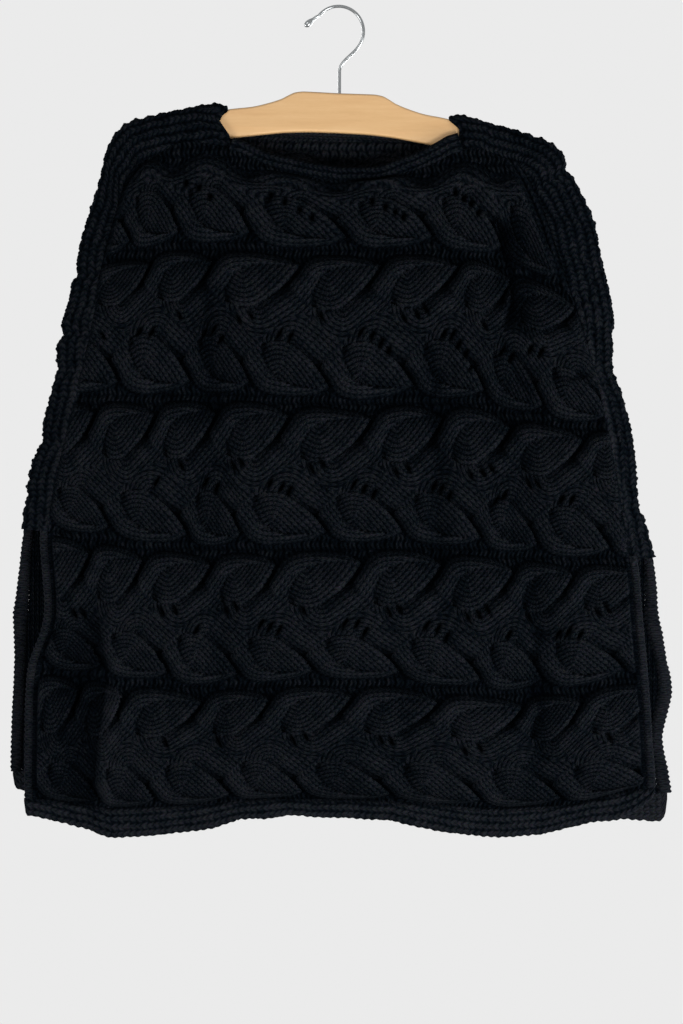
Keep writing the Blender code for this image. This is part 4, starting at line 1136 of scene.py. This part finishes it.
def vent_border(label, panel, side, finish):
    """A rolled edge down the open side, from the end of the side band to the hem."""
    way, end = (-1.0, 0) if side == "left" else (1.0, -1)
    fall = panel.drops[-1][end] - panel.drops[VENT_LINE][end]
    count = int(fall / (0.8 * BAND_STEP))
    line = np.linspace(VENT_LINE, len(panel.drops) - 1, count + 1)
    x = panel.edges(line)[end]
    drop = panel.drop(line, x)
    y = panel.inside(line, x, drop) + panel.outward * WALL / 2
    centre = np.stack([x + way * (BORDER_WIDTH / 2 - SEAM_LAP), y, -drop], axis=-1)
    centre[:3, 2] += (6.0, 4.0, 1.5)  # its top end reaches up behind the side band
    wider = np.interp(drop, *zip(*BORDER_WIDER[label, side]))
    centre[:, 0] += way * wider / 2
    turn = 2 * math.pi * (np.arange(BORDER_AROUND) + 0.5) / BORDER_AROUND
    across, deep = (
        np.sign(part) * np.abs(part) ** BORDER_BEND * size / 2
        for part, size in ((np.cos(turn), BORDER_WIDTH), (np.sin(turn), BORDER_THICKNESS)))
    ribs = 1 + 0.10 * wave(drop, EDGE_STITCH) + 0.05 * ripple(drop, drop * 0, 3)
    number = np.arange(count + 1)
    ends = np.clip(np.minimum(number, count - number) / 3.0, 0, 1)
    swell = ribs * (0.86 + 0.14 * ends)
    rings = np.repeat(centre[:, None], BORDER_AROUND, axis=1)
    rings[..., 0] += across[None, :] * (swell * (1 + wider / BORDER_WIDTH))[:, None]
    rings[..., 1] += deep[None, :] * swell[:, None]
    fan = np.stack([np.zeros(BORDER_AROUND - 2, int), np.arange(1, BORDER_AROUND - 1),
                    np.arange(2, BORDER_AROUND)], axis=1)
    caps = np.concatenate([fan[:, ::-1], fan + count * BORDER_AROUND])
    # painted light: both borders are painted lighter all over and on each rib, with a painted
    # highlight along the outer rim, strongest on the front, and the back is blotchy
    half = BORDER_WIDTH / 2
    rim = soft_step(way * across, 0.55 * half, 0.95 * half)[None, :]
    blotches = 3.5 * ripple(1.6 * drop[:, None], 8 * across[None, :], 6)
    light = 13 + 11 * rim if label == "front" else 15 + 4 * rim + blotches
    light = (light + 40 * (ribs[:, None] - 1)).ravel()
    piece = knitted(
        f"{label}_rolled_edge_{side}", rings.reshape(-1, 3),
        quads_of(count + 1, BORDER_AROUND, around=True), caps,
        np.repeat(drop / EDGE_STITCH, BORDER_AROUND),
        np.tile(np.arange(BORDER_AROUND) / EDGE_STITCH, count + 1), light, finish)
    declare(piece, f"{label}_vent_border_{side}")


# ---- the hanger -----------------------------------------------------------------------------
def select_none():
    for thing in bpy.context.selected_objects:
        thing.select_set(False)


def board_outline():
    """Points of the board's outline, going round from the middle of the top over the right arm."""
    tip_x = BOARD_REACH - BOARD_TIP_RADIUS
    top_x = np.concatenate([np.linspace(0, 110, 45), np.linspace(115, tip_x, 16)])
    low_x = np.linspace(0, tip_x, 44)
    top = through_points([p[0] for p in BOARD_TOP], [p[1] for p in BOARD_TOP], top_x)
    low = through_points([p[0] for p in BOARD_BOTTOM], [p[1] for p in BOARD_BOTTOM], low_x)
    centre = 0.5 * (top[-1] + low[-1])
    turns = np.linspace(math.pi / 2, -math.pi / 2, 18)[1:-1]
    tip = [(tip_x + BOARD_TIP_RADIUS * math.cos(t), centre + BOARD_TIP_RADIUS * math.sin(t))
           for t in turns]
    right = list(zip(top_x, top)) + tip + list(zip(low_x[::-1], low[::-1]))
    left = [(-x, z) for x, z in right[1:-1]]
    return right + left[::-1]


def settle(piece):
    """Puts the piece's place into its mesh."""
    piece.data.transform(piece.matrix_world)
    piece.matrix_world = Matrix.Identity(4)


def hanger_piece(piece, finish, node):
    """Gives a piece of the hanger its finish and its place in the frame."""
    piece.data.shade_smooth()
    piece.data.set_sharp_from_angle(angle=HANGER_SMOOTH)
    piece.data.materials.clear()
    piece.data.materials.append(finish)
    stands_for(piece, node)


def hanger_board(finish):
    """A flat bent arm cut from a board, its edges rounded over."""
    outline = board_outline()
    select_none()
    bpy.ops.mesh.primitive_circle_add(vertices=len(outline), radius=0.2, fill_type="NGON",
                                      location=(0, 0, -BOARD_TOP_DROP * MM))
    board = bpy.context.object
    board.name = board.data.name = "flat_arm"
    for point, (x, z) in zip(board.data.vertices, outline):
        point.co = (x * MM, -BOARD_THICKNESS / 2 * MM, z * MM)
    bpy.ops.object.mode_set(mode="EDIT")
    bpy.ops.mesh.select_all(action="SELECT")
    bpy.ops.mesh.extrude_region_move(
        TRANSFORM_OT_translate={"value": (0, BOARD_THICKNESS * MM, 0)})
    bpy.ops.mesh.select_all(action="SELECT")
    bpy.ops.mesh.normals_make_consistent(inside=False)
    bpy.ops.object.mode_set(mode="OBJECT")
    edges = board.modifiers.new("Rounded edges", "BEVEL")
    edges.width = BOARD_EDGE_ROUND * MM
    edges.segments = 5
    edges.limit_method = "ANGLE"
    edges.angle_limit = math.radians(60)
    bpy.ops.object.modifier_apply(modifier=edges.name)
    board.rotation_euler = (0, BOARD_TILT, 0)
    bpy.context.view_layer.update()
    settle(board)
    hanger_piece(board, finish, "hanger_board")


def hook_path():
    """(x, z, radius factor) along the wire, from the board up to the beaded tip."""
    centre_z = -(HOOK_RADIUS - WIRE_RADIUS)
    right_x = HOOK_CENTRE_X + HOOK_RADIUS
    path = [(SHANK_X, -BOARD_TOP_DROP - 8, 1), (SHANK_X, -BOARD_TOP_DROP, 1), (SHANK_X, -74, 1)]
    for t in np.linspace(0, 1, 22)[:-1]:
        x = SHANK_X + (right_x - SHANK_X) * (3 * t * t - 2 * t ** 3)
        z = (-64.0 * (1 - t) ** 3 - 147.0 * t * (1 - t) ** 2
             + 3 * (centre_z - 22) * t * t * (1 - t) + centre_z * t ** 3)
        path.append((x, z, 1))
    for turn in np.linspace(0, math.radians(142), 40):
        path.append((HOOK_CENTRE_X + HOOK_RADIUS * math.cos(turn),
                     centre_z + HOOK_RADIUS * math.sin(turn), 1))
    path += [(-22.9, -9.2, 1), (-24.5, -10.6, 1.05), (-26.2, -12.0, 1.3), (-28.0, -13.4, 1.75),
             (-29.8, -14.9, 2.05), (-31.6, -16.4, 2.0), (-33.0, -17.5, 1.6), (-34.0, -18.3, 0.9),
             (-34.3, -18.5, 0.3)]
    return path


def hanger_hook(finish):
    """A bent chrome wire with a flattened bead at its end."""
    select_none()
    path = hook_path()
    bpy.ops.curve.primitive_nurbs_path_add(radius=0.05, location=(0, 0, 0))
    wire = bpy.context.object
    wire.name = wire.data.name = "bent_wire"
    wire.data.splines.clear()
    line = wire.data.splines.new("POLY")
    line.points.add(len(path) - 1)
    for point, (x, z, factor) in zip(line.points, path):
        point.co = (x * MM, 0, z * MM, 1)
        point.radius = factor
    wire.data.dimensions = "3D"
    wire.data.bevel_depth = WIRE_RADIUS * MM
    wire.data.bevel_resolution = 6
    wire.data.use_fill_caps = True
    bpy.ops.object.convert(target="MESH")
    wire = bpy.context.object
    bpy.ops.object.mode_set(mode="EDIT")
    bpy.ops.mesh.select_all(action="SELECT")
    bpy.ops.mesh.remove_doubles(threshold=1e-6)
    bpy.ops.mesh.normals_make_consistent(inside=False)
    bpy.ops.object.mode_set(mode="OBJECT")
    for point in wire.data.vertices:
        if point.co.x < BEAD_FROM:
            point.co.y *= BEAD_FLATNESS
    hanger_piece(wire, finish, "hanger_hook")


# ---- finishes -------------------------------------------------------------------------------
class Nodes:
    """Adds shader nodes and joins them."""

    def __init__(self, name):
        self.material = bpy.data.materials.new(name)
        self.material.use_nodes = True
        self.tree = self.material.node_tree
        self.shader = self.tree.nodes["Principled BSDF"]

    def add(self, kind, **values):
        node = self.tree.nodes.new(kind)
        for key, value in values.items():
            setattr(node, key, value)
        return node

    def join(self, source, target):
        self.tree.links.new(source, target)

    def feed(self, socket, value):
        """Joins a node's output to the socket, or sets the socket to a plain value."""
        if isinstance(value, bpy.types.NodeSocket):
            self.join(value, socket)
        else:
            socket.default_value = value

    def place(self):
        """Where a point lies on the object."""
        return self.add("ShaderNodeTexCoord").outputs["Object"]

    def math(self, operation, *values):
        node = self.add("ShaderNodeMath", operation=operation)
        for socket, value in zip(node.inputs, values):
            self.feed(socket, value)
        return node.outputs[0]

    def times(self, source, factor):
        return self.math("MULTIPLY", source, factor)

    def plus(self, source, other):
        return self.math("ADD", source, other)

    def weighed(self, *terms):
        """The sum of sources, each times its weight."""
        total = self.times(*terms[0])
        for term in terms[1:]:
            total = self.plus(total, self.times(*term))
        return total

    def grooves(self, source, power):
        """1 at every whole number and 0 halfway between; a higher power makes them narrower."""
        swing = self.math("COSINE", self.times(source, math.pi))
        return self.math("POWER", self.math("ABSOLUTE", swing), power)

    def mixed(self, blend, factor, below, above):
        node = self.add("ShaderNodeMix", data_type="RGBA", blend_type=blend)
        for socket, value in (("Factor", factor), (6, below), (7, above)):
            self.feed(node.inputs[socket], value)
        return node.outputs[2]

    def noise(self, source, scale, detail, rough=0.5, give="Fac"):
        node = self.add("ShaderNodeTexNoise")
        node.inputs["Scale"].default_value = scale
        node.inputs["Detail"].default_value = detail
        node.inputs["Roughness"].default_value = rough
        self.join(source, node.inputs["Vector"])
        return node.outputs[give]

    def stretched(self, source, scale, turn=(0, 0, 0)):
        node = self.add("ShaderNodeMapping")
        node.inputs["Rotation"].default_value = turn
        node.inputs["Scale"].default_value = scale
        self.join(source, node.inputs["Vector"])
        return node.outputs["Vector"]

    def ramp(self, source, stops):
        node = self.add("ShaderNodeValToRGB")
        while len(node.color_ramp.elements) < len(stops):
            node.color_ramp.elements.new(0.5)
        for element, (place, colour) in zip(node.color_ramp.elements, stops):
            element.position = place
            element.color = (*colour, 1.0)
        self.join(source, node.inputs["Fac"])
        return node.outputs["Color"]

    def bump(self, source, distance, strength, before=None):
        node = self.add("ShaderNodeBump")
        node.inputs["Distance"].default_value = distance
        node.inputs["Strength"].default_value = strength
        self.join(source, node.inputs["Height"])
        if before is not None:
            self.join(before, node.inputs["Normal"])
        return node.outputs["Normal"]

    def surface(self, colour=None, normal=None, roughness=None, **values):
        """Gives the shader its sources and plain values, and hands over the material."""
        for name, source in (("Base Color", colour), ("Normal", normal), ("Roughness", roughness)):
            if source is not None:
                self.feed(self.shader.inputs[name], source)
        for key, value in values.items():
            self.shader.inputs[key.replace("_", " ")].default_value = value
        return self.material


def black_wool():
    """Black yarn: the V of each stitch, fuzz and fibre are bump, and grooves get painted shade."""
    made = Nodes("Black wool yarn")
    knit = made.add("ShaderNodeUVMap", uv_map="Knit")
    parts = made.add("ShaderNodeSeparateXYZ")
    made.join(knit.outputs["UV"], parts.inputs["Vector"])
    across, along = parts.outputs["X"], parts.outputs["Y"]
    place = made.place()
    fibre = made.noise(place, 1500, 4, 0.65)
    fuzz = made.noise(place, 420, 3, 0.6)
    uneven = made.noise(place, 60, 3, 0.55)
    wander = made.times(made.math("SUBTRACT", made.noise(place, 170, 2), 0.5), 0.55)
    across = made.plus(across, wander)
    # two slanted legs of yarn in each stitch
    leg = made.math("PINGPONG", across, 0.5)
    slant = made.plus(made.plus(along, wander), made.times(leg, 1.2))
    plump = made.math("SINE", made.times(leg, 2 * math.pi))
    loop = made.math("ABSOLUTE", made.math("SINE", made.times(slant, math.pi)))
    stitch = made.times(made.math("POWER", loop, 0.6), made.plus(plump, 0.4))
    # each leg of each stitch has a chance value of its own
    cell = made.add("ShaderNodeCombineXYZ")
    made.join(made.math("FLOOR", made.times(across, 2.0)), cell.inputs["X"])
    made.join(made.math("FLOOR", slant), cell.inputs["Y"])
    chance = made.add("ShaderNodeTexWhiteNoise", noise_dimensions="2D")
    made.join(cell.outputs["Vector"], chance.inputs["Vector"])
    chance = chance.outputs["Value"]
    stitch = made.times(stitch, made.plus(made.times(chance, 0.5), 0.6))
    bumped = made.bump(stitch, 0.0015, 0.75)
    bumped = made.bump(fuzz, 0.0012, 0.6, bumped)
    bumped = made.bump(fibre, 0.0005, 0.5, bumped)
    # painted light and shade from the mesh: lighter on high knit, darker in creases and hollows
    raised = made.add("ShaderNodeAttribute", attribute_name="Painted_light_and_shade").outputs["Fac"]
    # painted shade between the lines of stitches and between one stitch and the next
    tone_and_painted_light = made.weighed(
        (uneven, 0.5), (fuzz, 0.4), (fibre, 0.25), (raised, 0.46), (chance, 0.2),
        (made.grooves(across, 5.0), -0.28), (made.grooves(slant, 4.0), -0.24))
    colour = made.ramp(made.math("SUBTRACT", tone_and_painted_light, 0.28), (
        (0.12, (0.0001, 0.0004, 0.0009)), (0.5, (0.0016, 0.0033, 0.0050)),
        (1.0, (0.0118, 0.0155, 0.0189))))
    # the dye is a little warmer in places, and fine flecks took it differently
    warmth = made.times(made.noise(place, 60, 5, 0.75), 0.95)
    colour = made.mixed("MULTIPLY", warmth, colour, (1.30, 0.95, 0.99, 1.0))
    flecks = made.noise(place, 1100, 2, give="Color")
    colour = made.mixed("OVERLAY", 0.9, colour, flecks)
    return made.surface(colour, bumped, Roughness=0.95, Specular_IOR_Level=0.01,
                        Sheen_Weight=0.012, Sheen_Roughness=0.4,
                        Sheen_Tint=(0.60, 0.72, 0.86, 1.0))


def pale_maple():
    """Lacquered maple: streaks along the board and fine pores."""
    made = Nodes("Pale maple")
    place = made.place()
    streak = made.noise(made.stretched(place, (1.0, 9.0, 14.0), (0, BOARD_TILT, 0)), 12, 5, 0.6)
    fleck = made.noise(made.stretched(place, (9.0, 60.0, 120.0)), 14, 3, 0.6)
    colour = made.ramp(made.weighed((streak, 0.7), (fleck, 0.3)), (
        (0.25, (0.635, 0.37, 0.164)), (0.5, (0.705, 0.435, 0.203)),
        (0.75, (0.765, 0.497, 0.25))))
    return made.surface(colour, made.bump(fleck, 0.0003, 0.15), Roughness=0.38, Coat_Weight=0.25,
                        Coat_Roughness=0.2)


def bright_chrome():
    """Polished wire with a slight haze."""
    made = Nodes("Bright chrome wire")
    haze = made.noise(made.place(), 700, 3)
    colour = made.ramp(haze, ((0.3, (0.25, 0.262, 0.268)), (0.7, (0.38, 0.395, 0.40))))
    return made.surface(colour, made.bump(haze, 0.0001, 0.1),
                        made.plus(made.times(haze, 0.12), 0.08), Metallic=1.0)


def studio_floor():
    """Matt grey, slightly mottled."""
    made = Nodes("Pale floor")
    mottle = made.noise(made.place(), 3, 4)
    return made.surface(made.ramp(mottle, ((0.3, (0.70, 0.70, 0.70)), (0.7, (0.74, 0.74, 0.74)))),
                        Roughness=0.9)


# ---- the studio -----------------------------------------------------------------------------
WALL_COLOUR = (0.83, 0.83, 0.83, 1.0)
WALL_LIGHT = (0.22, 1.0)  # as a lamp, and as it is seen
WALL_MIRRORED = 0.8
LAMPS = (  # name, place, size and power
    ("Key", (0.9, -2.2, -1.4), 0.9, 36.0),
    ("Fill", (-1.2, -2.9, 0.9), 1.0, 8.0),
    ("Right side", (1.8, -0.7, -0.8), 1.0, 27.0),
    ("Left side", (-1.7, -1.2, -0.9), 0.9, 19.0),
    ("Back right", (1.2, 2.4, -0.9), 1.0, 45.0),
    ("Back left", (-1.4, 2.4, 0.3), 1.0, 25.0),
)
LAMPS_AIM = (0, 0, -0.45)
CAMERA_PLACE = (0.0025, -3.6, -0.504)
CAMERA_LENS = 126.6
FLOOR_RADIUS = 0.6
FLOOR_Z = -1.16


def studio():
    """A grey wall all round, six soft lamps, the camera of the photo and a pale floor."""
    scene = bpy.context.scene
    scene.view_settings.view_transform = "Standard"
    world = bpy.data.worlds.new("Soft studio")
    scene.world = world
    world.use_nodes = True
    nodes, links = world.node_tree.nodes, world.node_tree.links
    back = nodes["Background"]
    back.inputs["Color"].default_value = WALL_COLOUR
    # the wall is bright where it is seen or mirrored, and throws less light on the object
    path = nodes.new("ShaderNodeLightPath")
    seen = nodes.new("ShaderNodeMath")
    seen.operation = "MULTIPLY_ADD"
    seen.inputs[1].default_value = WALL_MIRRORED
    links.new(path.outputs["Is Glossy Ray"], seen.inputs[0])
    links.new(path.outputs["Is Camera Ray"], seen.inputs[2])
    strength = nodes.new("ShaderNodeMapRange")
    strength.inputs["To Min"].default_value, strength.inputs["To Max"].default_value = WALL_LIGHT
    links.new(seen.outputs[0], strength.inputs["Value"])
    links.new(strength.outputs["Result"], back.inputs["Strength"])
    for name, place, size, power in LAMPS:
        select_none()
        bpy.ops.object.light_add(type="AREA", location=place)
        lamp = bpy.context.object
        lamp.name = name
        lamp.data.shape = "DISK"
        lamp.data.size = size
        lamp.data.energy = power
        aim = Vector(LAMPS_AIM) - Vector(place)
        lamp.rotation_euler = aim.to_track_quat("-Z", "Y").to_euler()
    select_none()
    bpy.ops.object.camera_add(location=CAMERA_PLACE, rotation=(math.pi / 2, 0, 0))
    camera = bpy.context.object
    camera.data.lens = CAMERA_LENS
    scene.camera = camera
    select_none()
    bpy.ops.mesh.primitive_circle_add(vertices=96, radius=FLOOR_RADIUS, fill_type="NGON",
                                      location=(0, 0, FLOOR_Z))
    floor = bpy.context.object
    floor.name = "floor"
    floor.data.materials.append(studio_floor())
    settle(floor)


def main():
    """The sheets from the neck down, then the hanger and the studio."""
    wool = black_wool()
    panel_piece("front_cables_chest", FRONT, 0, 4, FRONT_STEP, wool, "front_panel")
    panel_piece("front_cables_middle", FRONT, 4, 6, FRONT_STEP, wool, "front_panel")
    panel_piece("front_cables_waist", FRONT, 6, 8, FRONT_STEP, wool, "front_panel")
    panel_piece("front_cables_foot", FRONT, 8, 10, FRONT_STEP, wool, "front_panel")
    panel_piece("back_yoke", BACK, 0, 1, BACK_STEP, wool, "back_panel", worked_inside=True)
    panel_piece("back_cables_upper", BACK, 1, 6, BACK_STEP, wool, "back_panel")
    panel_piece("back_cables_lower", BACK, 6, 10, BACK_STEP, wool, "back_panel")
    side_band("left", LEFT_OUTLINE, LEFT_NOTCHES, LEFT_BEAK, wool)
    side_band("right", RIGHT_OUTLINE, RIGHT_NOTCHES, RIGHT_BEAK, wool)
    neckband("front", FRONT, FRONT_NECKLINE, wool)
    neckband("back", BACK, BACK_NECKLINE, wool)
    for label, panel in (("front", FRONT), ("back", BACK)):
        hem_band(label, panel, wool)
        for side in ("left", "right"):
            vent_border(label, panel, side, wool)
    hanger_board(pale_maple())
    hanger_hook(bright_chrome())
    studio()


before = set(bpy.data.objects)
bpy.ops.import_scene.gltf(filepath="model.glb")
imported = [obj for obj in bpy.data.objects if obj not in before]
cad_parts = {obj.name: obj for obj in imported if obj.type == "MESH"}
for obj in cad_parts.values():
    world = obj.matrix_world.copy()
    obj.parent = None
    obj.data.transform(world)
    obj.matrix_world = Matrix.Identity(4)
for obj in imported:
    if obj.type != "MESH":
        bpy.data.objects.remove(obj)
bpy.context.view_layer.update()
main()
